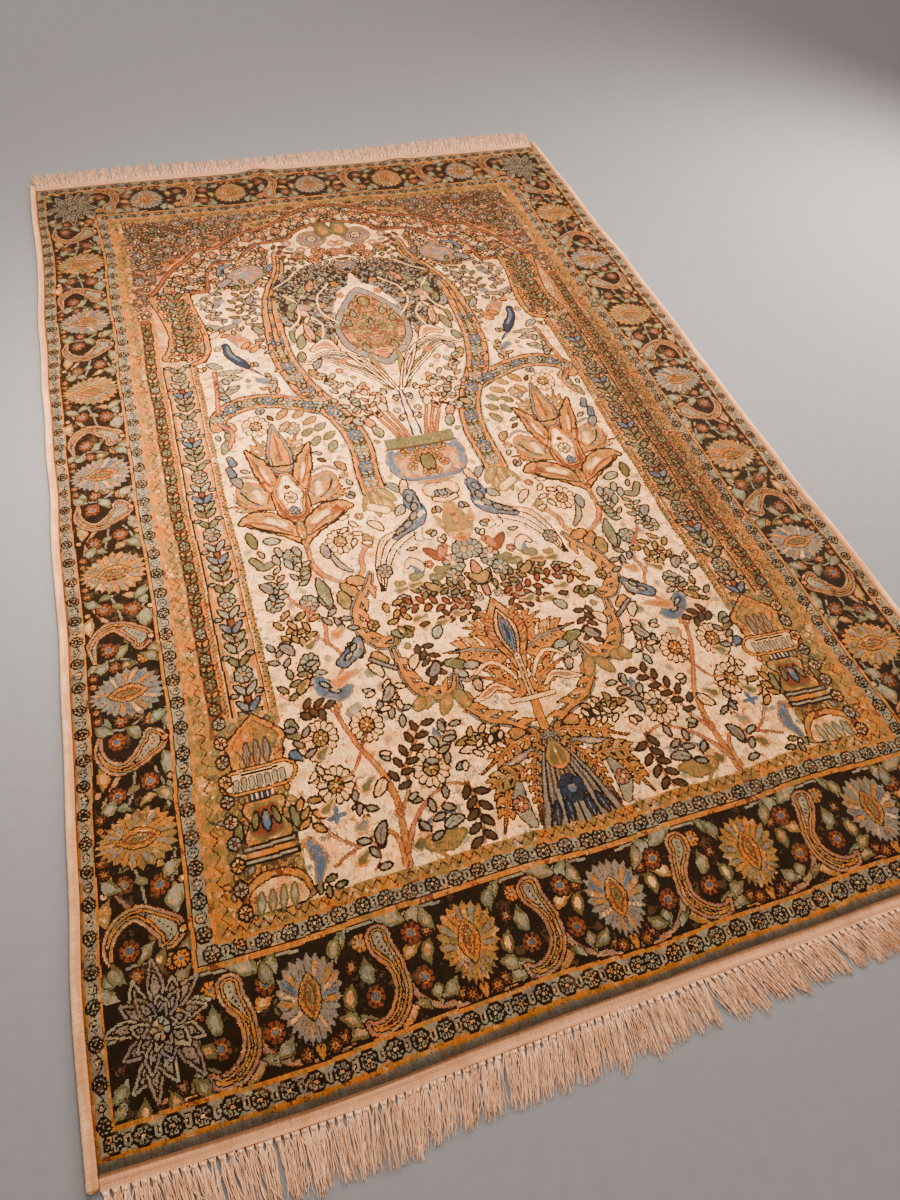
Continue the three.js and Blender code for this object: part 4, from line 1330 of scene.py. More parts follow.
def on_rug(across, along):
    """A place on the rug from its shares across and along the pile."""
    left, right = inner_edge(LEFT, 0), inner_edge(RIGHT, 0)
    rough_x = left + (right - left) * across
    near, far = read_table(END_EDGES, NEAR, rough_x), read_table(END_EDGES, FAR, rough_x)
    y = near + (far - near) * along
    left, right = inner_edge(LEFT, y), inner_edge(RIGHT, y)
    return left + (right - left) * across, y


def lift(x, y):
    """How high the folds raise the rug off the floor."""
    height = np.zeros(np.shape(x))
    for crest_x, rise, half_width, reach in FOLDS:
        across = np.minimum(np.abs(x - crest_x) / half_width, 1)
        inward = np.clip((read_table(END_EDGES, FAR, x) - y) / reach, 0, 1)
        height += rise * (0.5 + 0.5 * np.cos(np.pi * across)) * (0.5 + 0.5 * np.cos(np.pi * inward))
    return height


def finish_piece(name, bm, *materials):
    """Makes an object from a bmesh and puts it in the scene."""
    mesh = bpy.data.meshes.new(name)
    bm.to_mesh(mesh)
    bm.free()
    for material in materials:
        mesh.materials.append(material)
    piece = bpy.data.objects.new(name, mesh)
    bpy.context.scene.collection.objects.link(piece)
    return piece


def place_vertices(mesh, x, y, z):
    """Puts a mesh's vertices at places given in millimetres."""
    places = np.column_stack([x, y, z]) * MM
    mesh.vertices.foreach_set("co", places.astype(np.float32).ravel())
    mesh.update()


def unit_places(mesh):
    """A mesh's vertices as three arrays."""
    places = np.empty(len(mesh.vertices) * 3, np.float32)
    mesh.vertices.foreach_get("co", places)
    return places.reshape(-1, 3).astype(float).T


def add_unwrap(mesh, name, us, vs):
    """Adds a UV map from a place for each vertex."""
    corners = np.empty(len(mesh.loops), np.int32)
    mesh.loops.foreach_get("vertex_index", corners)
    layer = mesh.uv_layers.new(name=name)
    layer.data.foreach_set("uv", np.column_stack([us[corners], vs[corners]]).astype(np.float32).ravel())


# The whole chart, both halves, with the small jogs that a weaver's beating leaves in its lines.
whole = np.concatenate([chart, chart[:, ::-1]], axis=1)
rows, columns = np.mgrid[0:ROWS, 0:2 * HALF_COLUMNS]
row_drift = 1.5 * np.sin(columns / 61 + rows / 340) + 0.9 * np.sin(columns / 23 + 1.3)
row_drift += 0.5 * np.sin(rows / 17)
column_drift = 1.3 * np.sin(rows / 83 + columns / 290) + 0.8 * np.sin(rows / 29 + 0.6)
edge_hold = np.clip(np.minimum(columns, 2 * HALF_COLUMNS - 1 - columns) / 12, 0, 1)
row_drift *= np.clip(np.minimum(rows, ROWS - 1 - rows) / 12, 0, 1)
whole = whole[
    np.clip(np.rint(rows + row_drift), 0, ROWS - 1).astype(int),
    np.clip(np.rint(columns + column_drift * edge_hold), 0, 2 * HALF_COLUMNS - 1).astype(int),
]

# Right of the field, painted shade: more pale knots there are knotted in brown, for the darker look the nap
# has from this side. The streak's near and far ends are measured from the pile's near end, each with the
# way it fades in.
STREAK_MIDDLE = 385
STREAK_FADE = 48
STREAK_NEAR, NEAR_FADE = 350, 300
STREAK_FAR, FAR_FADE = 1450, 400
STREAK_CHANCE = 0.68
across = np.clip(1.6 - np.abs(CHART_LEFT + columns * KNOT_X - STREAK_MIDDLE) / STREAK_FADE, 0, 1)
along = np.clip((rows * KNOT_Y - STREAK_NEAR) / NEAR_FADE, 0, 1)
along *= np.clip((STREAK_FAR - rows * KNOT_Y) / FAR_FADE, 0, 1)
painted_nap_shade = np.random.default_rng(11).random(whole.shape) < STREAK_CHANCE * across * along
NAP_SHADED_DYES = [DYE[name] for name in ("gold", "orange", "peach", "rose", "cream", "pale_sage", "taupe")]
whole[painted_nap_shade & np.isin(whole, NAP_SHADED_DYES)] = DYE["brown"]
quads = whole.reshape(QUADS_ALONG, KNOTS_PER_QUAD[1], QUADS_ACROSS, KNOTS_PER_QUAD[0]).transpose(0, 2, 1, 3)
packed = (quads.astype(float) * DYE_COUNT ** np.arange(KNOTS_PER_QUAD[0])).sum(axis=3) + 0.5


def knotted_sheet(name, foot, top, bake_side):
    """A closed sheet between two levels, with the chart's knots on its quads. The bake's map gives
    nearly all of its room to the side that shows."""
    bm = bmesh.new()
    bmesh.ops.create_grid(bm, x_segments=QUADS_ACROSS, y_segments=QUADS_ALONG, size=0.5)
    lower = bm.faces[:]
    grown = bmesh.ops.extrude_face_region(bm, geom=lower, use_keep_orig=True)
    raised = [item for item in grown["geom"] if isinstance(item, bmesh.types.BMVert)]
    bmesh.ops.translate(bm, verts=raised, vec=(0, 0, 1))
    bmesh.ops.reverse_faces(bm, faces=lower)
    piece = finish_piece(name, bm)
    mesh = piece.data
    across, along, level = unit_places(mesh)
    x, y = on_rug(across + 0.5, along + 0.5)
    waver = 0.25 * np.sin(x / 37) * np.sin(y / 53 + 1) + 0.15 * np.sin(x / 11 + y / 17)
    ease = np.clip(np.minimum(0.5 - np.abs(across), 0.5 - np.abs(along)) * 80, 0, 1)
    drop = np.where(level > 0.5, (1 - ease) ** 2 * min(0.9, (top - foot) * 0.3), 0)
    z = foot + level * (top - foot) + lift(x, y) - drop + (waver * ease if top > 3 else 0) * (level > 0.5)
    place_vertices(mesh, x, y, z)

    add_unwrap(mesh, "knots", (across + 0.5) * QUADS_ACROSS * KNOTS_PER_QUAD[0],
               (along + 0.5) * QUADS_ALONG * KNOTS_PER_QUAD[1])
    shown = level > 0.5 if bake_side == "top" else level < 0.5
    hidden_along = 0.002 + (along + 0.5) * HIDDEN_SIDE
    hidden_across = 0.002 + (across + 0.5) * HIDDEN_SIDE
    add_unwrap(mesh, "OFBake", np.where(shown, 0.03 + (along + 0.5) * 0.96, hidden_along),
               np.where(shown, 0.01 + (across + 0.5) * 0.98, hidden_across))
    first_loop = np.empty(len(mesh.polygons), np.int32)
    mesh.polygons.foreach_get("loop_start", first_loop)
    count = np.empty(len(mesh.polygons), np.int32)
    mesh.polygons.foreach_get("loop_total", count)
    loops = np.empty(len(mesh.loops), np.int32)
    mesh.loops.foreach_get("vertex_index", loops)
    face_across = np.add.reduceat(across[loops], first_loop) / count + 0.5
    face_along = np.add.reduceat(along[loops], first_loop) / count + 0.5
    column = np.clip((face_across * QUADS_ACROSS).astype(int), 0, QUADS_ACROSS - 1)
    row = np.clip((face_along * QUADS_ALONG).astype(int), 0, QUADS_ALONG - 1)
    for attribute, part in (("knots_low", slice(0, 4)), ("knots_high", slice(4, 8))):
        made = mesh.attributes.new(attribute, "FLOAT_COLOR", "FACE")
        made.data.foreach_set("color", packed[row, column, part].astype(np.float32).ravel())
    made = mesh.attributes.new("quad_corner", "FLOAT_VECTOR", "FACE")
    first_knot = np.column_stack([column * KNOTS_PER_QUAD[0], row * KNOTS_PER_QUAD[1],
                                  np.zeros(len(column))])
    made.data.foreach_set("vector", first_knot.astype(np.float32).ravel())
    mesh.polygons.foreach_set("use_smooth", np.ones(len(mesh.polygons), bool))
    return piece


def wire(tree, kind, *feeds, out=0, **settings):
    """Adds a node to a material. feeds go to its inputs in turn, as values, sockets or None."""
    made = tree.nodes.new(kind)
    for name, value in settings.items():
        setattr(made, name, value)
    for socket, feed in zip(made.inputs, feeds):
        if isinstance(feed, bpy.types.NodeSocket):
            tree.links.new(feed, socket)
        elif feed is not None:
            socket.default_value = feed
    return made.outputs[out]


def sums(tree, operation, *feeds):
    """A Math node."""
    return wire(tree, "ShaderNodeMath", *feeds, operation=operation)


def mixed(tree, share, first, second):
    """A Mix node on colours."""
    made = tree.nodes.new("ShaderNodeMix")
    made.data_type = "RGBA"
    for index, feed in ((0, share), (6, first), (7, second)):
        if isinstance(feed, bpy.types.NodeSocket):
            tree.links.new(feed, made.inputs[index])
        else:
            made.inputs[index].default_value = feed
    return made.outputs[2]


def scaled(tree, place, *sizes):
    """A place multiplied by a size on each axis."""
    return wire(tree, "ShaderNodeVectorMath", place, sizes, operation="MULTIPLY")


def ranged(tree, value, low, high, to_low, to_high):
    """A Map Range node."""
    return wire(tree, "ShaderNodeMapRange", value, low, high, to_low, to_high)


# The knots as dyed silk: a node group that both faces of the knotted sheet use. It finds which knot
# a place belongs to, reads that knot's dye from its quad's numbers, and gives each its own shade,
# with painted sheen and painted nap shade laid over the dyes.
knots = bpy.data.node_groups.new("dyed knots", "ShaderNodeTree")
for name, kind in (("raggedness", "NodeSocketFloat"), ("unevenness", "NodeSocketFloat")):
    knots.interface.new_socket(name, in_out="INPUT", socket_type=kind)
for name, kind in (("dye", "NodeSocketColor"), ("height", "NodeSocketFloat"), ("fibre", "NodeSocketFloat")):
    knots.interface.new_socket(name, in_out="OUTPUT", socket_type=kind)
given = knots.nodes.new("NodeGroupInput")
result = knots.nodes.new("NodeGroupOutput")
place = wire(knots, "ShaderNodeUVMap", uv_map="knots")
fray = wire(knots, "ShaderNodeTexNoise", place, None, 2.6, 1.5, 0.5, out=1)
fray = wire(knots, "ShaderNodeVectorMath", fray, (0.5, 0.5, 0.5), operation="SUBTRACT")
fray = wire(knots, "ShaderNodeVectorMath", fray, None, None, given.outputs["raggedness"], operation="SCALE")
frayed = wire(knots, "ShaderNodeVectorMath", place, fray, operation="ADD")
corner = wire(knots, "ShaderNodeAttribute", attribute_name="quad_corner", out=1)
local = wire(knots, "ShaderNodeVectorMath", frayed, corner, operation="SUBTRACT")
split = wire(knots, "ShaderNodeSeparateXYZ", local).node
highest_column, highest_row = (count - 0.001 for count in KNOTS_PER_QUAD)
column = sums(knots, "FLOOR", wire(knots, "ShaderNodeClamp", split.outputs[0], 0, highest_column))
row = sums(knots, "FLOOR", wire(knots, "ShaderNodeClamp", split.outputs[1], 0, highest_row))
number = None
for half, attribute in enumerate(("knots_low", "knots_high")):
    channels = wire(knots, "ShaderNodeAttribute", attribute_name=attribute).node
    parts = wire(knots, "ShaderNodeSeparateColor", channels.outputs["Color"]).node
    for channel, socket in enumerate((*parts.outputs, channels.outputs["Alpha"])):
        is_row = sums(knots, "COMPARE", row, half * 4 + channel, 0.2)
        number = sums(knots, "MULTIPLY_ADD", is_row, socket, number if number else 0.0)
digit = sums(knots, "DIVIDE", number, sums(knots, "POWER", DYE_COUNT, column))
digit = sums(knots, "MODULO", sums(knots, "FLOOR", digit), DYE_COUNT)
on_ramp = sums(knots, "DIVIDE", sums(knots, "ADD", digit, 0.5), DYE_COUNT)
ramp = wire(knots, "ShaderNodeValToRGB", on_ramp).node
ramp.color_ramp.interpolation = "CONSTANT"
stops = ramp.color_ramp.elements
for order, dye in enumerate(DYES.values()):
    stop = stops.new(order / DYE_COUNT) if order else stops[0]
    stop.position = order / DYE_COUNT
    stop.color = (*dye, 1)
stops.remove(stops[-1])
knot_place = wire(knots, "ShaderNodeVectorMath", frayed, operation="FLOOR")
own_shade = wire(knots, "ShaderNodeTexWhiteNoise", knot_place, noise_dimensions="2D")
fibre = wire(knots, "ShaderNodeTexNoise", scaled(knots, place, 1, 0.55, 1), None, 3.3, 3.0, 0.65)
bands = wire(knots, "ShaderNodeTexNoise", scaled(knots, place, 0.0016, 0.016, 1), None, 1.0, 3.0, 0.6)
patches = wire(knots, "ShaderNodeTexNoise", place, None, 0.02, 3.0, 0.55)
# The streaks along the pile and the mottling are painted sheen, and the broad patches are painted nap
# shade; fibre and bands are the silk's own fibre and dye lots.
sheen_streaks = wire(knots, "ShaderNodeTexNoise", scaled(knots, place, 0.55, 0.12, 1), None, 1.0, 2.0, 0.6)
sheen_mottle = wire(knots, "ShaderNodeTexNoise", place, None, 0.13, 3.0, 0.6)
# lit is each knot's own random tone, times the fibre, the dye-lot bands, and the painted sheen and nap
# shade.
lit = sums(knots, "MULTIPLY_ADD", own_shade, 0.34, 0.83)
for noise, swing in ((fibre, 0.20), (sheen_streaks, 0.22), (sheen_mottle, 0.24), (bands, 0.09), (patches, 0.10)):
    lit = sums(knots, "MULTIPLY", lit, ranged(knots, noise, 0.3, 0.7, 1 - swing, 1 + swing))
lit = sums(knots, "ADD", 1.0, sums(knots, "MULTIPLY", sums(knots, "SUBTRACT", lit, 1.0),
                                   given.outputs["unevenness"]))
toned = wire(knots, "ShaderNodeVectorMath", ramp.outputs[0], None, None, lit, operation="SCALE")
warmth = wire(knots, "ShaderNodeTexNoise", place, None, 0.045, 3.0, 0.6)
tint = mixed(knots, ranged(knots, warmth, 0.35, 0.65, 0.0, 1.0), (0.88, 1.03, 1.12, 1),
             (1.12, 0.96, 0.82, 1))
toned = wire(knots, "ShaderNodeVectorMath", toned, tint, operation="MULTIPLY")
within = wire(knots, "ShaderNodeVectorMath", place, operation="FRACTION")
within = wire(knots, "ShaderNodeVectorMath", within, (0.5, 0.5, 0), operation="SUBTRACT")
spread = wire(knots, "ShaderNodeVectorMath", within, operation="LENGTH", out=1)
tuft = ranged(knots, spread, 0.2, 0.72, 1.0, 0.0)
brightness = wire(knots, "ShaderNodeRGBToBW", ramp.outputs[0])
relief = sums(knots, "MULTIPLY_ADD", ranged(knots, brightness, 0.05, 0.5, 0.0, 1.0), 0.5,
              sums(knots, "MULTIPLY", tuft, 0.5))
relief = sums(knots, "MULTIPLY_ADD", fibre, 0.7, relief)
knots.links.new(toned, result.inputs["dye"])
knots.links.new(relief, result.inputs["height"])
knots.links.new(fibre, result.inputs["fibre"])


def new_material(name):
    """An empty material with its Principled shader, as (material, tree, shader)."""
    material = bpy.data.materials.new(name)
    material.use_nodes = True
    tree = material.node_tree
    return material, tree, tree.nodes["Principled BSDF"]


def knot_material(name, raggedness, unevenness, bump, depth):
    """Silk knots with their own raggedness, uneven tone with painted sheen, and relief."""
    material, tree, shader = new_material(name)
    group = tree.nodes.new("ShaderNodeGroup")
    group.node_tree = knots
    group.inputs["raggedness"].default_value = raggedness
    group.inputs["unevenness"].default_value = unevenness
    tree.links.new(group.outputs["dye"], shader.inputs["Base Color"])
    relief = wire(tree, "ShaderNodeBump", bump, depth, None, group.outputs["height"])
    tree.links.new(relief, shader.inputs["Normal"])
    gloss = ranged(tree, group.outputs["fibre"], 0.3, 0.7, 0.50, 0.68)
    tree.links.new(gloss, shader.inputs["Roughness"])
    return material, shader


silk, silk_shader = knot_material("cut silk pile", 0.55, 1.0, 0.5, 0.0012)
silk_shader.inputs["Sheen Weight"].default_value = 0.03
silk_shader.inputs["Sheen Roughness"].default_value = 0.42
silk_shader.inputs["Sheen Tint"].default_value = (1.0, 0.74, 0.52, 1)
silk_shader.inputs["Specular IOR Level"].default_value = 0.02

pile = knotted_sheet("silk_pile", PILE_FOOT, PILE_THICKNESS, "top")
pile.data.materials.append(silk)
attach(pile, "root")
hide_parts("pile")

# The back: the foundation's underside, where each knot shows as two small nodes between the wefts,
# in the same design as the pile and with no nap on it.
# The back shares the pile's chart, with the painted nap shade right of the field, and the group's painted
# sheen at less strength.
knot_backs, back_shader = knot_material("knot backs", 0.12, 0.7, 0.7, 0.0008)
back_shader.inputs["Specular IOR Level"].default_value = 0.08
back = knotted_sheet("foundation_back", 0, PILE_FOOT, "foot")
back.data.materials.append(knot_backs)
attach(back, "root")
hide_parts("pile")

# The long edges: a few thick warps at each side, overcast with peach silk into a firm rounded cord.
# The wraps lie close together and a little aslant. Their outer side is paler, a painted highlight, with
# worn patches over it, and the grooves between threads are darkened with painted shade.
CORD_HEIGHT = 6.0
CORD_SIDES = 14
WRAP_PITCH = 2.6
RINGS_PER_WRAP = 3
THREADS_PER_WRAP = 3.0
WRAP_SLANT = 0.9
FLOOR_GAP = 0.02
BAND_DEPTHS = {NEAR: 13, FAR: 25}

wrapped, wrap_tree, wrap_shader = new_material("overcast silk")
around = wire(wrap_tree, "ShaderNodeUVMap", uv_map="wraps")
slant = wire(wrap_tree, "ShaderNodeSeparateXYZ", around).node
turns = sums(wrap_tree, "MULTIPLY_ADD", slant.outputs[1], WRAP_SLANT, slant.outputs[0])
threads = sums(wrap_tree, "FRACT", sums(wrap_tree, "MULTIPLY", turns, THREADS_PER_WRAP))
thread_number = sums(wrap_tree, "FLOOR", sums(wrap_tree, "MULTIPLY", turns, THREADS_PER_WRAP))
ridge = sums(wrap_tree, "SINE", sums(wrap_tree, "MULTIPLY", threads, math.pi))
own = wire(wrap_tree, "ShaderNodeTexWhiteNoise", None, thread_number, noise_dimensions="1D")
cord_place = wire(wrap_tree, "ShaderNodeTexCoord", out=3)
wear = wire(wrap_tree, "ShaderNodeTexNoise", cord_place, None, 22.0, 4.0, 0.6)
outer = wire(wrap_tree, "ShaderNodeAttribute", attribute_name="outward", out=2)
# The outer side made paler: a painted highlight, with worn patches mixed in.
wear_and_painted_highlight = sums(wrap_tree, "ADD", outer, ranged(wrap_tree, wear, 0.3, 0.7, -0.3, 0.3))
colour = mixed(wrap_tree, ranged(wrap_tree, wear_and_painted_highlight, 0.25, 0.75, 0.0, 1.0), (0.56, 0.235, 0.095, 1),
               (0.98, 0.55, 0.28, 1))
colour = mixed(wrap_tree, ranged(wrap_tree, own, 0.0, 1.0, 0.0, 0.30), colour, (0.32, 0.12, 0.045, 1))
# Darker in the grooves between the threads: painted shade.
colour = mixed(wrap_tree, ranged(wrap_tree, ridge, 0.0, 0.55, 0.55, 0.0), colour, (0.12, 0.045, 0.018, 1))
wrap_tree.links.new(colour, wrap_shader.inputs["Base Color"])
wrap_tree.links.new(wire(wrap_tree, "ShaderNodeBump", 0.6, 0.0004, None, ridge),
                    wrap_shader.inputs["Normal"])
wrap_tree.links.new(ranged(wrap_tree, wear, 0.3, 0.7, 0.48, 0.66), wrap_shader.inputs["Roughness"])
wrap_shader.inputs["Specular IOR Level"].default_value = 0.2
wrap_shader.inputs["Sheen Weight"].default_value = 0.06
wrap_shader.inputs["Sheen Roughness"].default_value = 0.4


def overcast_cord(name, side):
    """One long edge's cord, from the outer side of the near band to that of the far band."""
    start = on_rug(side - 1, 0)[1] - PIECE_GAP - BAND_DEPTHS[NEAR]
    end = on_rug(side - 1, 1)[1] + PIECE_GAP + BAND_DEPTHS[FAR]
    rings = int((end - start) / WRAP_PITCH * RINGS_PER_WRAP)
    bm = bmesh.new()
    bmesh.ops.create_grid(bm, x_segments=rings, y_segments=CORD_SIDES, size=0.5)
    piece = finish_piece(name, bm, wrapped)
    mesh = piece.data
    along, around, _ = unit_places(mesh)
    y = start + (along + 0.5) * (end - start)
    angle = around * 2 * math.pi
    inward = 1 if side == LEFT else -1
    turn = (y - start) / WRAP_PITCH + around * WRAP_SLANT
    wrap = np.floor(turn)
    swell = 1 - 0.07 * (1 - np.sin(turn % 1 * math.pi)) + 0.035 * np.sin(wrap * 12.9) * np.cos(wrap * 4.1)
    close = np.sqrt(np.clip(np.minimum(y - start, end - y) / 3.0, 0.0, 1)) * 0.9 + 0.1
    across = np.cos(angle) * CORD_WIDTH / 2 * swell * close
    rise = np.sin(angle)
    rise = np.sign(rise) * np.abs(rise) ** 0.85
    centre = read_table(LONG_EDGES, side, y) + inward * CORD_WIDTH / 2
    z = CORD_HEIGHT / 2 + np.maximum(rise, -0.96) * CORD_HEIGHT / 2 * swell * close
    place_vertices(mesh, centre + across, y, np.maximum(z, FLOOR_GAP))
    add_unwrap(mesh, "wraps", (y - start) / WRAP_PITCH, around)
    outward = mesh.attributes.new("outward", "FLOAT", "POINT")
    outward.data.foreach_set("value", (0.5 - 0.5 * np.cos(angle) * inward).astype(np.float32))
    bm = bmesh.new()
    bm.from_mesh(mesh)
    bmesh.ops.remove_doubles(bm, verts=bm.verts, dist=0.00002)
    bmesh.ops.holes_fill(bm, edges=[edge for edge in bm.edges if edge.is_boundary], sides=0)
    bmesh.ops.recalc_face_normals(bm, faces=bm.faces)
    for face in bm.faces:
        face.smooth = True
    bm.to_mesh(mesh)
    bm.free()
    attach(piece, "root")
    return piece


left_cord = overcast_cord("overcast_left", LEFT)
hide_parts("selvedge_left")
right_cord = overcast_cord("overcast_right", RIGHT)
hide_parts("selvedge_right")

# The ends: past the pile the warps run on through a flat-woven band of cream weft, then are knotted
# in small bundles against its edge and hang loose as fringe. Wear has ruffled the yarns.
BAND_THICKNESS = 1.8
LOCKS_PER_END = 132
YARNS_PER_LOCK = 12
YARN_WIDTH = 1.1
YARN_STEPS = 7
BAND_QUADS = (330, 12)
# How far out along the rug its width is read for the bands and the fringe, and where its folds end.
BAND_LEVEL, FRINGE_LEVEL, FOLD_END = 915, 925, 904
# Rows of (x, length, lean of the tips toward +X) for each end's fringe.
FRINGES = {
    NEAR: (
        (-600, 54, 2), (-500, 54, 8), (-400, 55, 3), (-300, 57, -5), (-200, 52, -12), (-100, 53, -10),
        (0, 49, 0), (100, 46, 14), (200, 43, 14), (300, 44, 12), (400, 46, 9), (500, 47, 6), (600, 48, 3),
    ),
    FAR: (
        (-600, 50, -16), (-500, 56, -7), (-400, 58, -3), (-300, 62, -2), (-200, 54, 0), (-100, 52, 0),
        (0, 56, 2), (100, 60, 5), (200, 61, 9), (300, 66, 14), (400, 68, 17), (500, 66, 14), (600, 54, 10),
    ),
}


def warp_material(name, pale, warm, weft_bump):
    """Cream warp silk. weft_bump is the depth of the band's weft ribs, or 0 for loose yarns."""
    material, tree, shader = new_material(name)
    place = wire(tree, "ShaderNodeTexCoord", out=3)
    strands = wire(tree, "ShaderNodeTexNoise", scaled(tree, place, 1, 0.06, 0.5), None, 900.0, 2.0, 0.6)
    stains = wire(tree, "ShaderNodeTexNoise", place, None, 30.0, 4.0, 0.6)
    colour = mixed(tree, ranged(tree, strands, 0.35, 0.65, 0.0, 1.0), warm, pale)
    colour = mixed(tree, ranged(tree, stains, 0.5, 0.72, 0.0, 0.5), colour, (0.30, 0.125, 0.05, 1))
    height = strands
    if weft_bump:
        split = wire(tree, "ShaderNodeSeparateXYZ", place).node
        rows = sums(tree, "SINE", sums(tree, "MULTIPLY", split.outputs[1], 5200.0))
        warps = sums(tree, "SINE", sums(tree, "MULTIPLY", split.outputs[0], 3100.0))
        height = sums(tree, "MULTIPLY_ADD", warps, 0.25, rows)
        # Darker in the troughs between the weft rows: painted shade.
        colour = mixed(tree, ranged(tree, rows, -1.0, 0.2, 0.35, 0.0), colour, (0.24, 0.105, 0.05, 1))
    tree.links.new(colour, shader.inputs["Base Color"])
    tree.links.new(wire(tree, "ShaderNodeBump", 0.5, weft_bump or 0.0003, None, height),
                   shader.inputs["Normal"])
    tree.links.new(ranged(tree, strands, 0.3, 0.7, 0.62, 0.8), shader.inputs["Roughness"])
    shader.inputs["Specular IOR Level"].default_value = 0.12
    shader.inputs["Sheen Weight"].default_value = 0.05
    shader.inputs["Sheen Roughness"].default_value = 0.5
    return material


band_weave = warp_material("flat-woven cream band", (0.72, 0.345, 0.17, 1), (0.55, 0.245, 0.115, 1), 0.0004)
# The loose warps' darker strands are partly the yarns' own tone and partly painted shade, standing in for
# the shadow between yarns.
loose_warps = warp_material("loose cream warps", (0.96, 0.57, 0.34, 1), (0.46, 0.215, 0.10, 1), 0.0)


def band_edge(end, x):
    """The y of a band's inner edge."""
    side = 1 if end == FAR else -1
    return read_table(END_EDGES, end, x) + side * PIECE_GAP


def flat_band(name, end):
    """The flat-woven band past one end of the pile."""
    side = 1 if end == FAR else -1
    bm = bmesh.new()
    bmesh.ops.create_grid(bm, x_segments=BAND_QUADS[0], y_segments=BAND_QUADS[1], size=0.5)
    lower = bm.faces[:]
    grown = bmesh.ops.extrude_face_region(bm, geom=lower, use_keep_orig=True)
    raised = [item for item in grown["geom"] if isinstance(item, bmesh.types.BMVert)]
    bmesh.ops.translate(bm, verts=raised, vec=(0, 0, 1))
    bmesh.ops.recalc_face_normals(bm, faces=bm.faces)
    piece = finish_piece(name, bm, band_weave)
    mesh = piece.data
    across, out, level = unit_places(mesh)
    across, out = across + 0.5, out + 0.5
    left = inner_edge(LEFT, side * BAND_LEVEL)
    right = inner_edge(RIGHT, side * BAND_LEVEL)
    x = left + (right - left) * across
    y = band_edge(end, x) + side * (out * BAND_DEPTHS[end] - 1.2 * (out < 0.01))
    ripple = 0.35 * np.sin(x / 41 + 2) * np.sin(out * 5) + 0.3 * np.sin(out * math.pi * 3 + x / 200)
    z = level * BAND_THICKNESS + lift(x, np.minimum(y, FOLD_END)) + np.maximum(ripple, -0.2) * level
    place_vertices(mesh, x, y, z + FLOOR_GAP)
    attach(piece, "root")
    return piece


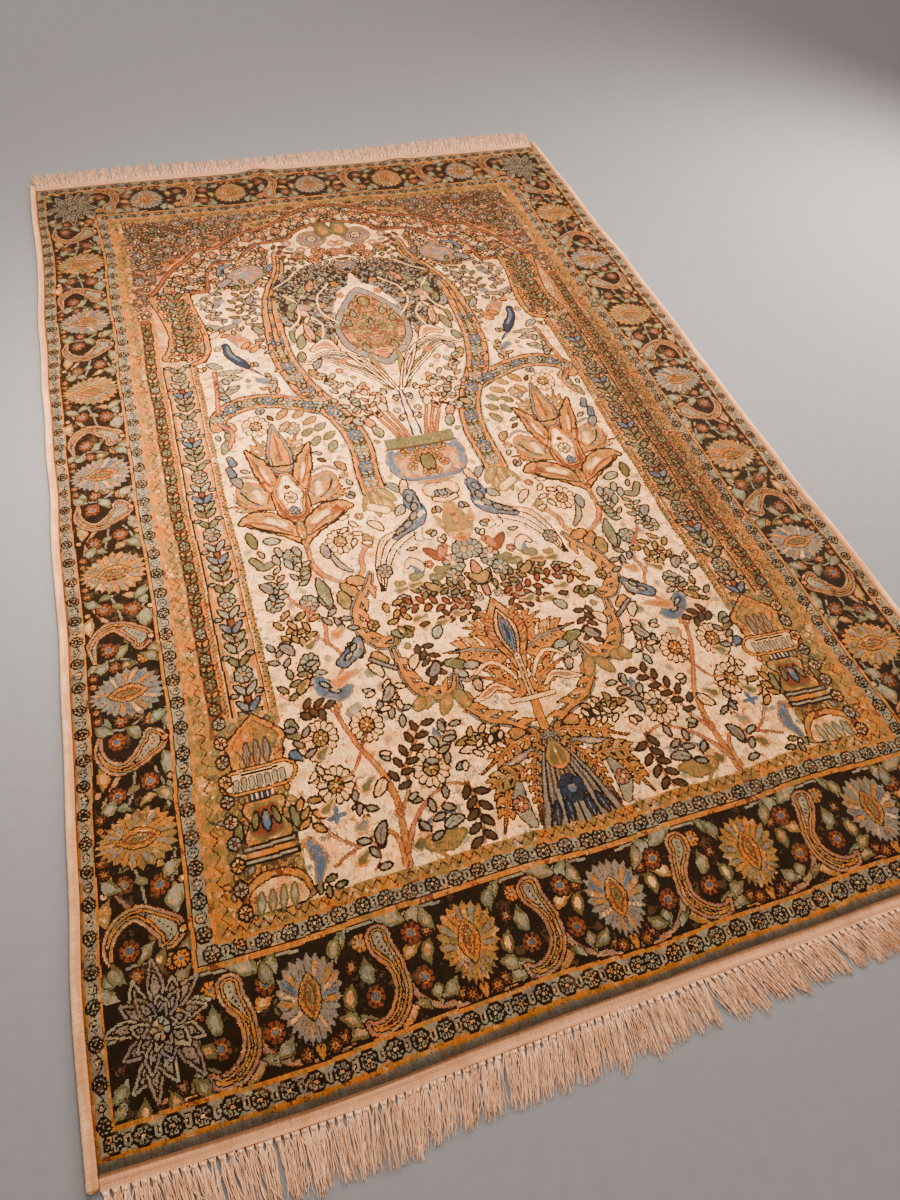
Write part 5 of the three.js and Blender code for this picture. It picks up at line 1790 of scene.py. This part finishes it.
def fringe(name, end):
    """One end's loose warps: bundles gathered at the band's edge, opening into ruffled yarns."""
    side = 1 if end == FAR else -1
    random = np.random.default_rng(40 + end)
    left, right = inner_edge(LEFT, side * FRINGE_LEVEL), inner_edge(RIGHT, side * FRINGE_LEVEL)
    pitch = (right - left) / LOCKS_PER_END
    curve = bpy.data.curves.new(name, "CURVE")
    curve.dimensions = "3D"
    curve.bevel_depth = YARN_WIDTH / 2 * MM
    curve.bevel_resolution = 0
    curve.use_fill_caps = True
    outs = np.linspace(0, 1, YARN_STEPS + 2)
    # These draws only set where in the generator's row the yarns' own draws begin.
    random.normal(0, 1, LOCKS_PER_END + 8)
    for lock in range(LOCKS_PER_END):
        middle = left + (lock + 0.5) * pitch
        root_y = band_edge(end, middle) + side * (BAND_DEPTHS[end] - 1)
        length = float(read_table(FRINGES[end], 1, middle)) + random.normal(0, 2.5)
        lean = float(read_table(FRINGES[end], 2, middle)) + random.normal(0, 2.0)
        tuft = (lock // 3 * 3 + 1 - lock) * pitch * (0.42 if end == FAR else 0.22)
        for yarn in range(YARNS_PER_LOCK):
            share = (yarn + 0.5) / YARNS_PER_LOCK - 0.5
            reach = length * random.uniform(0.80, 1.03)
            stray = random.random() < 0.05
            bow = random.normal(0, 9 if stray else 1.6)
            drift = random.normal(0, 10 if stray else 1.4)
            spread = share * pitch * 1.05
            level = random.uniform(0.6, 2.6)
            points = []
            for out in outs:
                open_out = np.interp(out, (0, 0.10, 0.28, 1), (0.85, 0.42, 0.95, 1.1))
                ease = out * out * (3 - 2 * out)
                x = middle + spread * open_out + lean * out + (drift + tuft) * ease
                x += bow * math.sin(out * math.pi)
                y = root_y + side * reach * out
                x += 0.5 * math.sin(out * 17 + yarn + lock)
                z = np.interp(out, (0, 0.1, 0.35, 1), (1.2, 1.9, level + 0.5, max(level * 0.6, 0.6)))
                z += float(lift(middle, min(root_y, FOLD_END))) * np.interp(out, (0, 0.1, 0.6), (1, 1, 0))
                points.append((x, y, max(z, 0.55)))
            spline = curve.splines.new("POLY")
            spline.points.add(len(points) - 1)
            flat = np.column_stack([np.array(points) * MM, np.ones(len(points))]).ravel()
            spline.points.foreach_set("co", flat)
            spline.points.foreach_set("radius", np.interp(outs, (0, 0.8, 1), (1, 0.9, 0.45)))
    shape = bpy.data.objects.new(name, curve)
    bpy.context.scene.collection.objects.link(shape)
    mesh = bpy.data.meshes.new_from_object(shape.evaluated_get(bpy.context.evaluated_depsgraph_get()))
    bpy.data.objects.remove(shape)
    bm = bmesh.new()
    bm.from_mesh(mesh)
    bpy.data.meshes.remove(mesh)
    for lock in range(LOCKS_PER_END):
        middle = left + (lock + 0.5) * pitch
        root_y = band_edge(end, middle) + side * (BAND_DEPTHS[end] + 3.2)
        level = 1.7 + float(lift(middle, min(root_y, FOLD_END)))
        tie = bmesh.ops.create_icosphere(bm, subdivisions=1, radius=MM)
        size = Vector((pitch * random.uniform(0.27, 0.33), random.uniform(2.0, 2.7),
                       random.uniform(1.4, 1.65)))
        place = Matrix.Translation(Vector((middle, root_y, level)) * MM)
        slant = Matrix.Rotation(random.uniform(-0.25, 0.25), 4, "Z")
        bmesh.ops.transform(bm, verts=tie["verts"], matrix=place @ slant @ Matrix.Diagonal((*size, 1)))
    bmesh.ops.recalc_face_normals(bm, faces=bm.faces)
    for face in bm.faces:
        face.smooth = True
    piece = finish_piece(name, bm, loose_warps)
    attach(piece, "root")
    return piece


near_band = flat_band("woven_band_near", NEAR)
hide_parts("end_band_near")
near_fringe = fringe("fringe_near", NEAR)
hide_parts("end_band_near")
far_band = flat_band("woven_band_far", FAR)
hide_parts("end_band_far")
far_fringe = fringe("fringe_far", FAR)
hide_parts("end_band_far")

# The stage: a plain pale floor under warm soft light, with a lamp over the rug's middle left, a
# second light beside its right edge and a window past its far end.
floor_bm = bmesh.new()
bmesh.ops.create_grid(floor_bm, x_segments=1, y_segments=1, size=6)
floor_paint, floor_tree, floor_shader = new_material("pale floor")
floor_place = wire(floor_tree, "ShaderNodeTexCoord", out=3)
grain = wire(floor_tree, "ShaderNodeTexNoise", floor_place, None, 60.0, 4.0, 0.6)
floor_colour = mixed(floor_tree, grain, (0.175, 0.173, 0.187, 1), (0.218, 0.213, 0.228, 1))
floor_tree.links.new(floor_colour, floor_shader.inputs["Base Color"])
floor_shader.inputs["Roughness"].default_value = 0.75
floor_shader.inputs["Specular IOR Level"].default_value = 0.2
floor = finish_piece("floor", floor_bm, floor_paint)
floor.location.z = -0.0003

world = bpy.data.worlds.new("room")
world.use_nodes = True
world.node_tree.nodes["Background"].inputs[0].default_value = (1.0, 0.88, 0.76, 1)
world.node_tree.nodes["Background"].inputs[1].default_value = 0.7
bpy.context.scene.world = world
for name, place, aim, size, power, colour in (
    ("lamp", (-0.21, 0.09, 0.6), (-0.2, 0.08, 0), 0.55, 26, (1.0, 0.87, 0.73)),
    ("side light", (1.5, 0.35, 0.8), (0.54, 0.0, 0), 0.9, 64, (1.0, 0.88, 0.75)),
    ("window", (-0.6, 3.2, 2.2), (0, 0.3, 0), 2.4, 74, (1.0, 0.90, 0.80)),
):
    light_data = bpy.data.lights.new(name, "AREA")
    light_data.size = size
    light_data.energy = power
    light_data.color = colour
    light = bpy.data.objects.new(name, light_data)
    bpy.context.scene.collection.objects.link(light)
    light.location = place
    light.rotation_euler = (Vector(aim) - Vector(place)).to_track_quat("-Z", "Y").to_euler()
